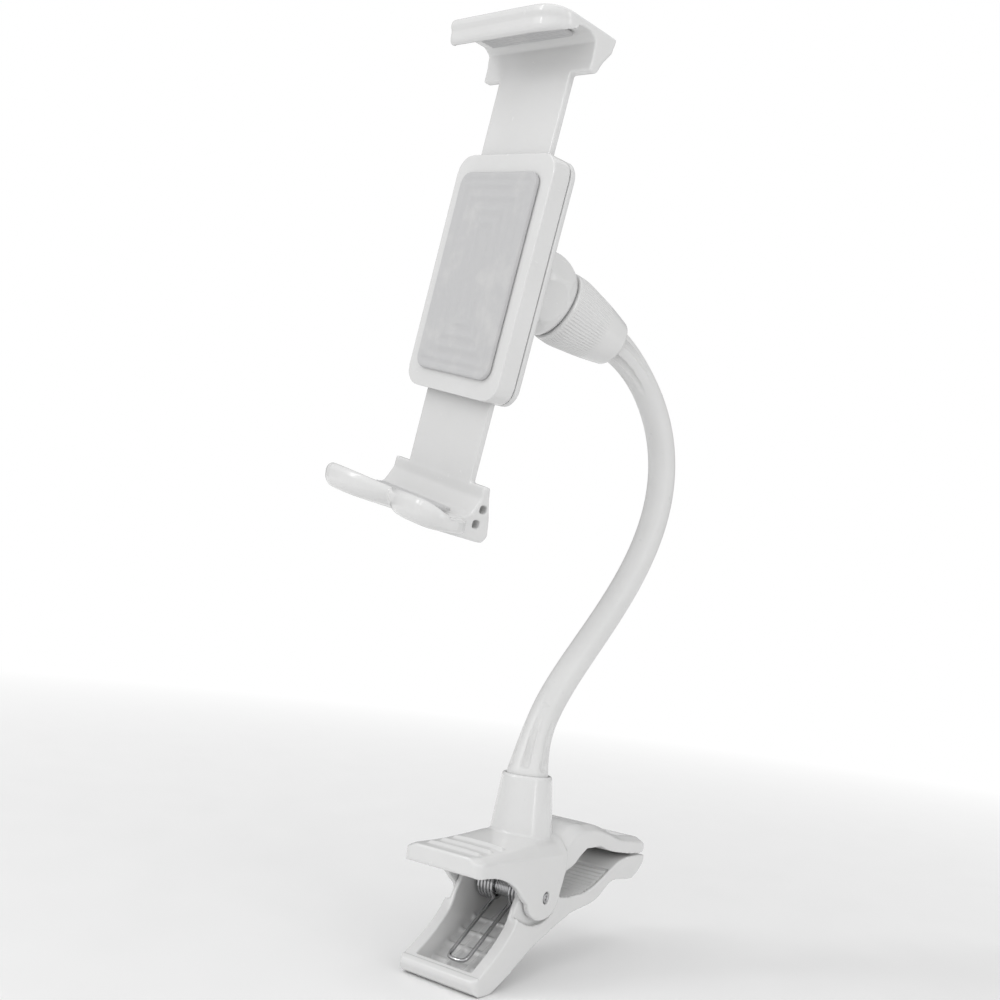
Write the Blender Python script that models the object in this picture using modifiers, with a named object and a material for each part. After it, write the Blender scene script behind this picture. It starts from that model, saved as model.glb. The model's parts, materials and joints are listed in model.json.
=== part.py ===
"""Clip-on phone stand: a spring clip, a flexible neck, a ball joint and a sprung two-jaw cradle.

The object's frame has its origin on the flat grip face of the upper jaw, on the middle plane of
the clip. +Z is up along the clip's boss, +X runs along the hinge pin and +Y runs from the clip's
handles towards its jaws. The lengths below are measured from the middle of the hinge pin, and the
empty grip_frame carries them to the object's frame. Every length is in millimetres, and MM turns
it into Blender's metres.
"""

import math

import bmesh
import bpy
from mathutils import Euler, Matrix, Vector

MM = 0.001
GAP = 0.3                      # clearance between pieces that touch or nest
GRIP_FACE = (0.0, 29.85, 12.0)   # the flat grip face of the upper jaw, from the hinge pin

# Clip
EAR_INNER = 12.1               # inner and outer face of each hinge ear
EAR_OUTER = 14.3
WAIST_HALF_WIDTH = 11.8        # lower lever where it runs between the ears
HANDLE_HALF_WIDTH = 14.0       # lower lever at its free end
POCKET_HALF_WIDTH = 10.0       # hollow inside the lower lever
RIDGES = (-31.0, -25.2, -19.4)   # y of the grip ridges across the handle
RIDGE_TOP = 15.1
PIN_RADIUS = 1.6
PIN_LENGTH = 28.2
SPOOL_RADIUS = 2.9
SPRING_RADIUS = 4.1            # coil centreline
SPRING_WIRE = 0.6              # wire radius
SPRING_TURNS = 4
SPRING_INNER = 3.2             # x where the coils' inner ends leave for the U-shaped leg
SPRING_PITCH = 1.4
PAD_THICKNESS = 1.2
PAD_HALF_WIDTH = 11.4

# Boss and neck
BOSS_Y = 3.5
BOSS_TOP = 34.4
BOSS_BASE = 17.2
BOSS_RADIUS_TOP = 7.9
BOSS_RADIUS_BASE = 9.8
BOSS_BORE = 6.9
NECK_RADIUS = 4.8
NECK_FOOT_RADIUS = 6.6
NECK_HEAD_RADIUS = 6.3
NECK_LENGTH = 173.0            # from the boss's top to the collar's nose
NECK_FLARE = 27.0              # length over which each end of the sleeve swells
CORE_RADIUS = 2.2
CORE_BORE = 2.5
FOOT_DEPTH = 14.2              # how far the sleeve's foot sits inside the boss
HEAD_DEPTH = 11.0              # how far its head sits inside the collar
FLEX_AT = (0.22, 0.40, 0.60, 0.79)   # places of the four flex joints along the neck

# Ball joint, in its own frame: Z runs along the collar, away from the cradle
BALL_CENTRE = (-8.95, -15.15, 189.3)
COLLAR_AXIS = (0.349, 0.902, -0.256)
BALL_RADIUS = 7.4
CUP_RADIUS = 8.7
SOCKET_RADIUS = 9.0
NUT_END = 11.3
COLLAR_START = 11.7
COLLAR_END = 37.6
NUT_TURN = -2.2                # degrees about the collar's axis
NUT_SECTIONS = ((10.9, 11.4, -4.5), (12.0, 12.8, -3.2), (12.5, 13.9, -0.4), (12.7, 14.4, 3.6),
                (12.7, 14.1, 6.8), (12.5, 13.2, 9.6), (12.3, 12.6, 11.3))   # flats, corners, z

# Cradle, in its own frame: Z towards the upper jaw, Y away from the phone, rest face at y = 0
CRADLE_TURN = (2.7, 14.7, -11.9)     # degrees about X, Y and Z
REST_BEHIND_BALL = (0.0, -23.2, -2.0)
PHONE_HALF_LENGTH = 71.5
BODY_HALF_WIDTH = 24.0
BODY_HALF_LENGTH = 38.0
BODY_FRONT = 1.5
BODY_BACK = 8.2
COVER_BACK = 10.4
BODY_WALL = 2.0
REST_HALF_WIDTH = 19.0
REST_HALF_LENGTH = 32.0
TONGUE_HALF_WIDTH = 17.0
TONGUE_THICKNESS = 2.0
TONGUE_LAYERS = (3.8, 6.0)     # front face of the upper and of the lower tongue
TONGUE_END = 11.0              # how far each tongue reaches past the body's middle
CHEEK_SIDE = 24.8              # half the width of the lower jaw at its gusset
CHEEK_FOOT = 77.6
CHEEK_WING = ((24.0, -18.3, 1.0, 70.2), (27.2, -17.6, 0.4, 70.5), (29.6, -15.8, -1.0, 70.9),
              (31.3, -13.4, -2.8, 71.2), (32.3, -10.6, -4.4, 71.5))   # x, front, back and top
PITCH_RADIUS = 6.0
TEETH = 12
POST_X = 21.0
POST_Z = 34.0
CRADLE_SPRING_X = 19.4

WHITE = (0.80, 0.80, 0.80)
SOFT_WHITE = (0.74, 0.74, 0.74)
GREY = (0.35, 0.36, 0.37)
STEEL = (0.62, 0.62, 0.63)


# ---------------------------------------------------------------- scene and helpers

def clear_scene():
    for obj in list(bpy.data.objects):
        bpy.data.objects.remove(obj, do_unlink=True)


def new_collection(name):
    coll = bpy.data.collections.new(name)
    bpy.context.scene.collection.children.link(coll)
    return coll


def make_material(name, colour, roughness, metallic=0.0):
    mat = bpy.data.materials.new(name)
    mat.use_nodes = True
    shader = mat.node_tree.nodes["Principled BSDF"]
    shader.inputs["Base Color"].default_value = (*colour, 1.0)
    shader.inputs["Roughness"].default_value = roughness
    shader.inputs["Metallic"].default_value = metallic
    mat.diffuse_color = (*colour, 1.0)
    return mat


def make_empty(name, location, turn=None, parent=None):
    empty = bpy.data.objects.new(name, None)
    empty.empty_display_size = 0.01
    PARTS.objects.link(empty)
    if turn is not None:
        empty.rotation_euler = turn
    empty.location = Vector(location) * MM
    empty.parent = parent
    bpy.context.view_layer.update()
    return empty


def add_object(name, data, parent, tool):
    obj = bpy.data.objects.new(name, data)
    (TOOLS if tool else PARTS).objects.link(obj)
    obj.parent = parent or GRIP_FRAME
    if tool:
        obj.hide_render = True
        obj.display_type = "WIRE"
    return obj


def finish_mesh(bm, name, parent=None, tool=False):
    """Scale a bmesh from millimetres, point its faces outwards and make it an object."""
    bmesh.ops.scale(bm, vec=(MM, MM, MM), verts=bm.verts)
    bmesh.ops.recalc_face_normals(bm, faces=bm.faces)
    mesh = bpy.data.meshes.new(name)
    bm.to_mesh(mesh)
    bm.free()
    return add_object(name, mesh, parent, tool)


def box(name, low, high, parent=None, tool=False):
    low, high = Vector(low), Vector(high)
    bm = bmesh.new()
    bmesh.ops.create_cube(bm, size=1.0)
    bmesh.ops.scale(bm, vec=high - low, verts=bm.verts)
    bmesh.ops.translate(bm, vec=(low + high) / 2, verts=bm.verts)
    return finish_mesh(bm, name, parent, tool)


def rod(name, start, end, radius, parent=None, tool=False, sides=24, end_radius=None):
    """A cylinder or cone between two points."""
    start, end = Vector(start), Vector(end)
    bm = bmesh.new()
    turn = (end - start).to_track_quat("Z", "Y").to_matrix().to_4x4()
    bmesh.ops.create_cone(bm, cap_ends=True, segments=sides, radius1=radius,
                          radius2=radius if end_radius is None else end_radius,
                          depth=(end - start).length,
                          matrix=Matrix.Translation((start + end) / 2) @ turn)
    return finish_mesh(bm, name, parent, tool)


def ball(name, centre, radius, parent=None, tool=False, sides=24):
    bm = bmesh.new()
    bmesh.ops.create_uvsphere(bm, u_segments=sides, v_segments=sides // 2, radius=radius,
                              matrix=Matrix.Translation(centre))
    return finish_mesh(bm, name, parent, tool)


def turned(name, profile, parent=None, tool=False, steps=32, closed=False):
    """A turned piece about Z: the profile lists (radius, z), down the outer side first."""
    bm = bmesh.new()
    verts = [bm.verts.new((r * MM, 0.0, z * MM)) for r, z in profile]
    for a, b in zip(verts, verts[1:]):
        bm.edges.new((a, b))
    if closed:
        bm.edges.new((verts[-1], verts[0]))
    mesh = bpy.data.meshes.new(name)
    bm.to_mesh(mesh)
    bm.free()
    obj = add_object(name, mesh, parent, tool)
    screw = obj.modifiers.new("turn", "SCREW")
    screw.axis = "Z"
    screw.steps = steps
    screw.render_steps = steps
    screw.use_merge_vertices = True
    screw.merge_threshold = 0.00001
    return obj


def curve_to_mesh(obj, merge=0.001):
    """Swap a curve object for a mesh of the same shape, with its caps welded."""
    bpy.context.view_layer.update()
    evaluated = obj.evaluated_get(bpy.context.evaluated_depsgraph_get())
    mesh = bpy.data.meshes.new_from_object(evaluated)
    bm = bmesh.new()
    bm.from_mesh(mesh)
    bmesh.ops.remove_doubles(bm, verts=bm.verts, dist=merge * MM)
    bmesh.ops.recalc_face_normals(bm, faces=bm.faces)
    bm.to_mesh(mesh)
    bm.free()
    name = obj.name
    tool = obj.name in TOOLS.objects
    world = obj.matrix_world.copy()
    parent = obj.parent
    bpy.data.objects.remove(obj)
    solid = add_object(name, mesh, parent, tool)
    solid.matrix_world = world
    return solid


def side_plate(name, outline, low_x, high_x, parent=None, tool=False):
    """A flat plate with an outline in (y, z), between two values of x."""
    curve = bpy.data.curves.new(name, "CURVE")
    curve.dimensions = "2D"
    curve.fill_mode = "BOTH"
    curve.extrude = (high_x - low_x) / 2 * MM
    spline = curve.splines.new("POLY")
    spline.points.add(len(outline) - 1)
    for point, (y, z) in zip(spline.points, outline):
        point.co = (y * MM, z * MM, 0.0, 1.0)
    spline.use_cyclic_u = True
    obj = add_object(name, curve, parent, tool)
    obj.matrix_basis = Matrix(((0, 0, 1, (low_x + high_x) / 2 * MM),
                               (1, 0, 0, 0), (0, 1, 0, 0), (0, 0, 0, 1)))
    return curve_to_mesh(obj)


def wire(name, points, radius, parent=None, tool=False, radii=None, resolution=1):
    """A round wire or tube through the points, as a poly curve with a bevel and filled caps."""
    curve = bpy.data.curves.new(name, "CURVE")
    curve.dimensions = "3D"
    curve.bevel_depth = radius * MM
    curve.bevel_resolution = resolution
    curve.use_fill_caps = True
    curve.twist_mode = "MINIMUM"
    spline = curve.splines.new("POLY")
    spline.points.add(len(points) - 1)
    for i, co in enumerate(points):
        spline.points[i].co = (*(Vector(co) * MM), 1.0)
        spline.points[i].radius = 1.0 if radii is None else radii[i] / radius
    return curve_to_mesh(add_object(name, curve, parent, tool))


def loft(name, rings, parent=None, tool=False):
    """A closed skin through rings of equal length, with flat ends."""
    bm = bmesh.new()
    loops = [[bm.verts.new(co) for co in ring] for ring in rings]
    count = len(loops[0])
    for a, b in zip(loops, loops[1:]):
        for i in range(count):
            j = (i + 1) % count
            bm.faces.new((a[i], a[j], b[j], b[i]))
    bm.faces.new(loops[0])
    bm.faces.new(loops[-1])
    return finish_mesh(bm, name, parent, tool)


def boolean(target, tool, operation):
    modifier = target.modifiers.new(operation.lower() + " " + tool.name, "BOOLEAN")
    modifier.operation = operation
    modifier.solver = "EXACT"
    modifier.object = tool


def cut(target, *tools):
    for tool in tools:
        boolean(target, tool, "DIFFERENCE")


def join(target, *tools):
    for tool in tools:
        boolean(target, tool, "UNION")


def smooth_shade(obj, angle=35.0):
    obj.data.shade_smooth()
    obj.data.set_sharp_from_angle(angle=math.radians(angle))


def give(obj, material):
    obj.data.materials.clear()
    obj.data.materials.append(material)
    return obj


def flow(points, steps=3):
    """A smooth run through a few points (Catmull-Rom), for the round stretches of an outline."""
    ends = [points[0]] + list(points) + [points[-1]]
    run = []
    for i in range(1, len(ends) - 2):
        p0, p1, p2, p3 = (Vector(ends[i + k]) for k in (-1, 0, 1, 2))
        for k in range(steps):
            t = k / steps
            run.append(0.5 * (2 * p1 + (p2 - p0) * t + (2 * p0 - 5 * p1 + 4 * p2 - p3) * t ** 2
                              + (3 * p1 - p0 - 3 * p2 + p3) * t ** 3))
    run.append(Vector(points[-1]))
    return [tuple(p) for p in run]


def arc(centre, radius, start, end, steps, squash=1.0):
    """Points on an arc in a plane, from start to end degrees; squash flattens its height."""
    points = []
    for i in range(steps + 1):
        angle = math.radians(start + (end - start) * i / steps)
        points.append((centre[0] + radius * math.cos(angle),
                       centre[1] + radius * squash * math.sin(angle)))
    return points


def blend_value(table, x):
    """Straight-line value from a short table of (x, value)."""
    if x <= table[0][0]:
        return table[0][1]
    for (x0, v0), (x1, v1) in zip(table, table[1:]):
        if x <= x1:
            return v0 + (v1 - v0) * (x - x0) / (x1 - x0)
    return table[-1][1]


# ---------------------------------------------------------------- clip

UPPER_TOP = ((-36.0, 14.1), (-20.0, 13.3), (3.0, 12.8), (8.5, 13.2), (12.2, 15.2),
             (15.6, 17.3), (19.0, 18.2), (24.0, 18.5), (32.0, 17.9), (40.0, 16.2),
             (48.0, 14.5), (58.0, 12.8), (62.5, 11.8), (64.6, 10.4), (65.4, 9.2))
UPPER_UNDER = ((9.4, 6.2), (12.4, 6.3), (17.0, 7.8), (20.4, 10.0), (24.2, 12.0),
               (26.4, 12.0), (31.0, 12.0), (33.2, 12.0), (40.0, 10.0), (48.0, 8.7), (58.0, 7.6),
               (63.5, 7.5), (65.4, 8.4))
UPPER_HALF_WIDTH = ((-36.0, 14.0), (9.0, 14.2), (20.0, 12.8), (60.0, 12.6), (65.4, 12.0))
CROWN = ((-36.0, 0.1), (-28.0, 0.8), (-20.0, 1.7), (-4.0, 4.2), (9.0, 4.0), (24.0, 0.6),
         (40.0, 0.3), (65.4, 0.0))
PLATE_UNDER = 10.4


def height(points, y):
    return blend_value(flow(points), y)


def upper_section(y, under):
    """One cross-section of the upper lever: flat underside, crowned top."""
    half = blend_value(UPPER_HALF_WIDTH, y)
    side = height(UPPER_TOP, y)
    crown = blend_value(CROWN, y)
    ring = [Vector((-half, y, under)), Vector((half, y, under))]
    for i in range(11):
        x = half * (1 - i / 5)
        rise = max(0.0, math.cos(math.pi / 2 * x / half)) ** 1.6
        ring.append(Vector((x, y, side + crown * rise)))
    return ring


def ear_outline():
    """A hinge ear with the skirt that runs along the handle's edge."""
    skirt = [(-35.8, 12.0), (-35.8, 9.0), (-30.0, 8.6), (-25.0, 7.9), (-20.0, 6.3), (-15.8, 4.0),
             (-12.6, 1.2)]
    foot = arc((-1.2, 0.2), 8.6, 190, 345, 12, squash=0.76)
    return flow(skirt, 2) + foot + [(8.3, 2.5), (9.7, 6.6), (9.2, 12.0)]


def make_upper_lever():
    stations = [(-36.0, 9.0), (-33.4, 9.0), (-33.3, PLATE_UNDER)]
    stations += [(y, PLATE_UNDER) for y in (-28, -22, -16, -10, -4, 2, 6, 9.3)]
    stations += [(y, height(UPPER_UNDER, y)) for y in (9.4, 11, 13, 15, 17, 19, 21, 23, 25, 28, 31, 35,
                                                       40, 45, 50, 55, 60, 62.5, 64.2, 65.1)]
    lever = loft("upper_lever", [upper_section(y, z) for y, z in stations])
    for side in (-1, 1):
        low, high = sorted((side * EAR_INNER, side * EAR_OUTER))
        join(lever, side_plate("ear_tool", ear_outline(), low, high, tool=True))
    for y in RIDGES:
        join(lever, rod("ridge_tool", (-10.5, y, RIDGE_TOP - 1.0), (10.5, y, RIDGE_TOP - 1.0), 1.0,
                        tool=True, sides=16))
    boss = turned("boss_tool", [(0, BOSS_TOP), (7.4, BOSS_TOP), (BOSS_RADIUS_TOP, BOSS_TOP - 0.6),
                                (BOSS_RADIUS_BASE, BOSS_BASE + 0.8), (10.4, BOSS_BASE - 0.4),
                                (11.6, BOSS_BASE - 1.6), (11.6, 12.2), (0, 12.2)], tool=True, steps=36)
    boss.location = (0, BOSS_Y * MM, 0)
    join(lever, boss)
    cut(lever,
        rod("boss_bore_tool", (0, BOSS_Y, 14.0), (0, BOSS_Y, 40), BOSS_BORE, tool=True, sides=32),
        rod("screw_hole_tool", (0, BOSS_Y, 5), (0, BOSS_Y, 20), 1.8, tool=True, sides=16),
        rod("pin_hole_tool", (-20, 0, 0), (20, 0, 0), PIN_RADIUS + 0.2, tool=True, sides=20),
        side_plate("upper_pad_seat_tool", pad_outline(UPPER_PAD, 1, GAP), -PAD_HALF_WIDTH - GAP,
                   PAD_HALF_WIDTH + GAP, tool=True))
    return lever


LOWER_OUTER = ((-27.0, -23.3), (-23.5, -23.1), (-15.7, -19.9), (-9.2, -16.7), (-3.1, -13.6),
               (2.8, -11.5), (9.5, -9.3), (17.8, -7.0), (25.3, -6.1), (30.4, -5.4), (34.5, -4.2),
               (38.0, -2.2), (41.5, -0.4), (46.0, 0.2), (55.0, -0.5), (59.0, -0.2), (62.7, 1.3),
               (65.3, 3.4), (66.0, 5.0), (65.0, 6.7))
LOWER_INNER = ((62.0, 6.9), (54.0, 7.0), (47.0, 6.1), (41.5, 4.0), (36.5, 1.8), (32.2, 0.1),
               (27.7, -1.2), (24.4, -1.8), (22.0, -1.8), (17.0, -1.8), (14.6, -1.8), (10.0, -1.1))
LOWER_HALF_WIDTH = ((-34.0, 13.9), (-23.0, 13.7), (0.0, 13.5), (18.0, 12.9), (60.0, 12.6), (68.0, 12.0))
# Reach of each hinge ear from the pin, by angle in degrees, with room for the ear to swing.
EAR_POCKET = ((0, 8.0), (20, 9.3), (60, 13.0), (120, 15.0), (185, 15.0), (197, 14.6), (203, 13.2),
              (210, 11.8), (218, 10.8), (227, 9.8), (240, 8.8), (252, 7.9), (275, 7.3), (299, 7.3),
              (320, 7.6), (340, 7.8))


def lower_outline():
    front = [(-10.1, 2.6), (-12.6, -1.6), (-15.2, -7.0), (-21.8, -13.0), (-31.6, -19.2)]
    end = [(-31.7, -20.4), (-30.7, -22.2), (-29.0, -23.2)]
    hub = arc((0, 0), 5.4, 30, 118, 6)
    return end + flow(LOWER_OUTER, 2) + flow(LOWER_INNER, 2) + [(7.4, 0.6)] + hub + [(-6.6, 4.6)] + front


def trough_outline():
    """The hollow of the lower lever, open along its front edge."""
    return [(-27.6, -18.9), (-24.6, -20.9), (-21.0, -20.0), (-15.0, -17.2), (-9.0, -14.2),
            (-3.0, -11.2), (4.5, -8.4), (8.6, -5.4), (8.6, -2.4), (5.2, 2.4), (2.0, 8.0),
            (-14.0, 8.0), (-34.0, -10.0)]


def plan_block(name, table):
    """A block whose outline seen from above has the half-width that the table gives at each y."""
    right = [(half, y) for y, half in table]
    left = [(-half, y) for y, half in reversed(table)]
    rings = [[Vector((x, y, z)) for x, y in right + left] for z in (-40, 40)]
    return loft(name, rings, tool=True)


def ear_pocket_outline():
    """The hollow in each flank of the lower lever that takes a hinge ear as the clip opens."""
    points = []
    for degrees, reach in EAR_POCKET:
        angle = math.radians(degrees)
        points.append((reach * math.cos(angle), reach * math.sin(angle)))
    return points


def make_lower_lever():
    lever = side_plate("lower_lever", lower_outline(), -HANDLE_HALF_WIDTH, HANDLE_HALF_WIDTH)
    boolean(lever, plan_block("lower_plan_tool", LOWER_HALF_WIDTH), "INTERSECT")
    cut(lever,
        side_plate("left_pocket_tool", ear_pocket_outline(), -20, -WAIST_HALF_WIDTH, tool=True),
        side_plate("right_pocket_tool", ear_pocket_outline(), WAIST_HALF_WIDTH, 20, tool=True),
        side_plate("trough_tool", trough_outline(), -POCKET_HALF_WIDTH, POCKET_HALF_WIDTH, tool=True),
        rod("lower_pin_tool", (-20, 0, 0), (20, 0, 0), PIN_RADIUS + 0.2, tool=True, sides=20),
        side_plate("lower_pad_seat_tool", pad_outline(LOWER_PAD, -1, GAP), -PAD_HALF_WIDTH - GAP,
                   PAD_HALF_WIDTH + GAP, tool=True))
    for i, x in enumerate((-5.4, 0.0, 5.4)):
        rib = [(-23.4, -20.2), (-15.2, -16.6), (-9.2, -13.6), (-3.2, -10.6), (2.0, -8.8),
               (1.0, -11.0), (-12.0, -17.6), (-21.0, -21.6)]
        join(lever, side_plate("floor_rib_tool_%d" % i, rib, x - 0.5, x + 0.5, tool=True))
    for i, (y, z) in enumerate(((-20.4, -19.2), (-14.4, -16.2), (-8.4, -13.2), (-2.4, -10.2))):
        join(lever, box("cross_rib_tool_%d" % i, (-10.4, y - 0.5, z - 3.0), (10.4, y + 0.5, z + 0.2),
                        tool=True))
    return lever


UPPER_PAD = ((14.6, 6.9), (17.0, 7.8), (20.4, 10.0), (24.2, 12.0), (26.4, 12.0), (31.0, 12.0),
             (33.2, 12.0), (40.0, 10.0))
LOWER_PAD = ((12.6, -1.6), (14.6, -1.8), (17.0, -1.8), (22.0, -1.8), (24.4, -1.8), (27.7, -1.2),
             (32.2, 0.1), (36.5, 1.8), (41.0, 3.8))


def pad_outline(line, side, grow=0.0):
    """A strip under the jaw's surface line; side is +1 for the upper jaw and -1 for the lower."""
    run = [Vector(p) for p in flow(line, 2)]
    first, last = (run[1] - run[0]).normalized(), (run[-1] - run[-2]).normalized()
    run[0] = run[0] - first * grow
    run[-1] = run[-1] + last * grow
    skin = 0.6 if grow else 0.0
    face, back = [], []
    for i, p in enumerate(run):
        along = (run[min(i + 1, len(run) - 1)] - run[max(i - 1, 0)]).normalized()
        out = Vector((-along.y, along.x)) * side
        face.append(tuple(p - out * skin))
        back.append(tuple(p + out * (PAD_THICKNESS + grow)))
    return face + back[::-1]


def make_pad(name, line, side):
    return side_plate(name, pad_outline(line, side), -PAD_HALF_WIDTH, PAD_HALF_WIDTH)


def make_pin():
    half = PIN_LENGTH / 2
    pin = rod("hinge_pin", (-half, 0, 0), (half, 0, 0), PIN_RADIUS, sides=20)
    for side in (-1, 1):
        cut(pin, rod("pin_dimple_tool", (side * (half - 0.8), 0, 0), (side * (half + 1), 0, 0), 0.7,
                     tool=True, sides=12))
    return pin


def make_spool():
    spool = rod("spring_spool", (-9.6, 0, 0), (9.6, 0, 0), SPOOL_RADIUS, sides=24)
    cut(spool, rod("spool_bore_tool", (-12, 0, 0), (12, 0, 0), PIN_RADIUS + 0.2, tool=True, sides=20))
    return spool


def spring_path():
    """A double torsion spring: arm, coil, U-shaped leg, coil, arm."""
    steps = 12
    start = math.radians(58)
    total = SPRING_TURNS * 2 * math.pi + math.radians(-122 + 360) - start
    half = []
    count = int(SPRING_TURNS * steps + 8)
    for i in range(count + 1):
        share = i / count
        angle = start + total * share
        x = SPRING_INNER + SPRING_PITCH * SPRING_TURNS * (1 - share)
        half.append(Vector((x, SPRING_RADIUS * math.cos(angle), SPRING_RADIUS * math.sin(angle))))
    first = half[0]
    back = Vector((0, -math.sin(start), math.cos(start)))
    arm = [first - back * -8.2 * k for k in (1.0, 0.5)]
    last = half[-1]
    foot = Vector((SPRING_INNER, -20.4, -16.0))
    leg = [last.lerp(foot, k) for k in (0.25, 0.6, 1.0)]
    bend = [Vector((SPRING_INNER * 0.75, -22.6, -17.2)), Vector((0, -23.2, -17.5))]
    one = arm + half + leg + bend
    other = [Vector((-p.x, p.y, p.z)) for p in one[:-1]]
    return one + other[::-1]


def make_spring():
    return wire("torsion_spring", spring_path(), SPRING_WIRE)


# ---------------------------------------------------------------- neck

def collar_point(distance):
    """A point on the collar's axis, at a distance from the ball's centre."""
    return Vector(BALL_CENTRE) + Vector(COLLAR_AXIS).normalized() * distance


NECK_CONTROL = ((0.0, 3.5, 34.4), (0.1, 7.3, 60.0), (-0.2, 9.8, 73.3), (22.5, 101.0, 123.8),
                collar_point(60.2), collar_point(36.6))


def neck_point(t):
    """A point on the neck's centreline: t runs from 0 at the boss to 1 at the collar."""
    if t < 0:
        return Vector(NECK_CONTROL[0]) + Vector((0, 0, 1)) * t * 100
    if t > 1:
        return Vector(NECK_CONTROL[-1]) - Vector(COLLAR_AXIS).normalized() * (t - 1) * 100
    degree = len(NECK_CONTROL) - 1
    total = Vector((0, 0, 0))
    for i, control in enumerate(NECK_CONTROL):
        total += Vector(control) * (math.comb(degree, i) * t ** i * (1 - t) ** (degree - i))
    return total


def neck_along(t):
    return (neck_point(t + 0.002) - neck_point(t - 0.002)).normalized()


def neck_radius(t):
    """The sleeve swells towards the boss and towards the collar."""
    foot = min(1.0, max(0.0, 1 - t * NECK_LENGTH / NECK_FLARE) ** 2)
    head = min(1.0, max(0.0, 1 - (1 - t) * NECK_LENGTH / NECK_FLARE) ** 2)
    return (NECK_RADIUS + (NECK_FOOT_RADIUS - NECK_RADIUS) * foot
            + (NECK_HEAD_RADIUS - NECK_RADIUS) * head)


def make_neck():
    """The sleeve and its core in five lengths: each length ends in a round knuckle that
    sits in the next one's cup, so that the neck can flex at four places."""
    stops = (-FOOT_DEPTH / 100, *FLEX_AT, 1 + HEAD_DEPTH / 100)
    made = []
    for i, (low, high) in enumerate(zip(stops, stops[1:])):
        first, last = i == 0, i == len(stops) - 2
        count = 7 if not (first or last) else 10
        places = [low + (high - low) * k / count for k in range(count + 1)]
        points = [neck_point(t) for t in places]
        radii = [neck_radius(t) for t in places]
        if not last:
            centre, along = points[-1], neck_along(high)
            radius = radii[-1]
            for angle in (22, 45, 68, 84):
                rise = math.radians(angle)
                points.append(centre + along * radius * math.sin(rise))
                radii.append(radius * math.cos(rise))
        sleeve = wire("neck_sleeve_%d" % (i + 1), points, NECK_RADIUS, radii=radii, resolution=3)
        if not first:
            cut(sleeve, ball("cup_tool_%d" % i, neck_point(low), neck_radius(low) + GAP, tool=True))
        inner = [neck_point(low - 0.03)] + points[:count + 1] + [neck_point(high) + neck_along(high) * 7]
        cut(sleeve, wire("core_bore_tool_%d" % i, inner, CORE_BORE, tool=True, resolution=2))
        made.append(sleeve)
        start = low - 0.02 if first else low + 0.034
        end = high + 0.02 if last else high - 0.008
        core = [neck_point(start + (end - start) * k / 6) for k in range(7)]
        made.append(wire("neck_core_%d" % (i + 1), core, CORE_RADIUS, resolution=2))
    return made


def make_foot_plug():
    """Metal plug in the bottom of the boss: the core stands in it and the screw holds it."""
    plug = turned("neck_foot_plug", [(0, 19.8), (6.2, 19.8), (6.2, 14.3), (0, 14.3)], steps=32)
    plug.location = (0, BOSS_Y * MM, 0)
    cut(plug,
        rod("plug_core_tool", (0, BOSS_Y, 17.4), (0, BOSS_Y, 24), CORE_BORE, tool=True, sides=20),
        rod("plug_screw_tool", (0, BOSS_Y, 10), (0, BOSS_Y, 16.4), 1.6, tool=True, sides=16))
    return plug


def make_foot_screw():
    screw = turned("neck_foot_screw", [(0, 16.0), (1.3, 16.0), (1.3, 10.1), (3.1, 10.1), (3.1, 9.2),
                                       (2.2, 8.4), (0, 8.4)], steps=20)
    screw.location = (0, BOSS_Y * MM, 0)
    cut(screw, box("screw_slot_tool", (-2.4, BOSS_Y - 0.3, 8.0), (2.4, BOSS_Y + 0.3, 9.1), tool=True))
    return screw


def make_head_plug():
    """Metal plug at the top of the core, inside the collar."""
    low, high = COLLAR_END - 15.6, COLLAR_END - 12.9
    plug = turned("neck_head_plug", [(6.0, high), (6.0, low), (CORE_BORE, low), (CORE_BORE, high)],
                  JOINT_FRAME, steps=28, closed=True)
    return plug


# ---------------------------------------------------------------- ball joint

def make_collar():
    outer = [(10.2, -2.2), (10.2, COLLAR_START), (12.2, COLLAR_START), (12.3, 17.0), (11.5, 22.0),
             (10.5, 27.6), (9.5, 32.0), (8.6, 35.6), (8.1, COLLAR_END - 0.4), (7.6, COLLAR_END)]
    inner = [(6.7, COLLAR_END), (6.7, 21.6), (4.0, 21.6), (4.0, 14.0), (3.0, 11.0)]
    cavity = [polar(SOCKET_RADIUS, a) for a in (20, 32, 44, 56, 68, 80, 92, 104)]
    profile = (outer + inner + cavity)[::-1]
    collar = turned("socket_collar", profile, JOINT_FRAME, steps=36, closed=True)
    for i in range(2):
        slot = box("finger_slot_tool_%d" % i, (-12, -0.6, -4), (12, 0.6, 5), JOINT_FRAME, tool=True)
        slot.rotation_euler = (0, 0, math.pi / 2 * i + math.pi / 4)
        cut(collar, slot)
    return collar


def make_nut():
    """The lock nut: a six-sided knob with round corners that narrows towards both its ends."""
    rings = []
    for apothem, corner, z in NUT_SECTIONS:
        ring = []
        for i in range(48):
            angle = 2 * math.pi * i / 48
            away = math.fmod(angle, math.pi / 3) - math.pi / 6
            reach = min(apothem / math.cos(away), corner)
            ring.append(Vector((reach * math.cos(angle), reach * math.sin(angle), z)))
        rings.append(ring)
    nut = loft("lock_nut", rings, JOINT_FRAME)
    nut.rotation_euler = (0, 0, math.radians(NUT_TURN))
    cut(nut, turned("nut_hollow_tool", [(0, NUT_END + 1), (10.6, NUT_END + 1), (10.6, -2.6), (9.4, -3.6),
                                        (9.4, -6.0), (0, -6.0)], JOINT_FRAME, tool=True, steps=40))
    return nut


def polar(radius, degrees):
    """(radius, z) of a point on a sphere round the ball's centre, at an angle from the collar's axis."""
    angle = math.radians(degrees)
    return (radius * math.sin(angle), radius * math.cos(angle))


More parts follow.
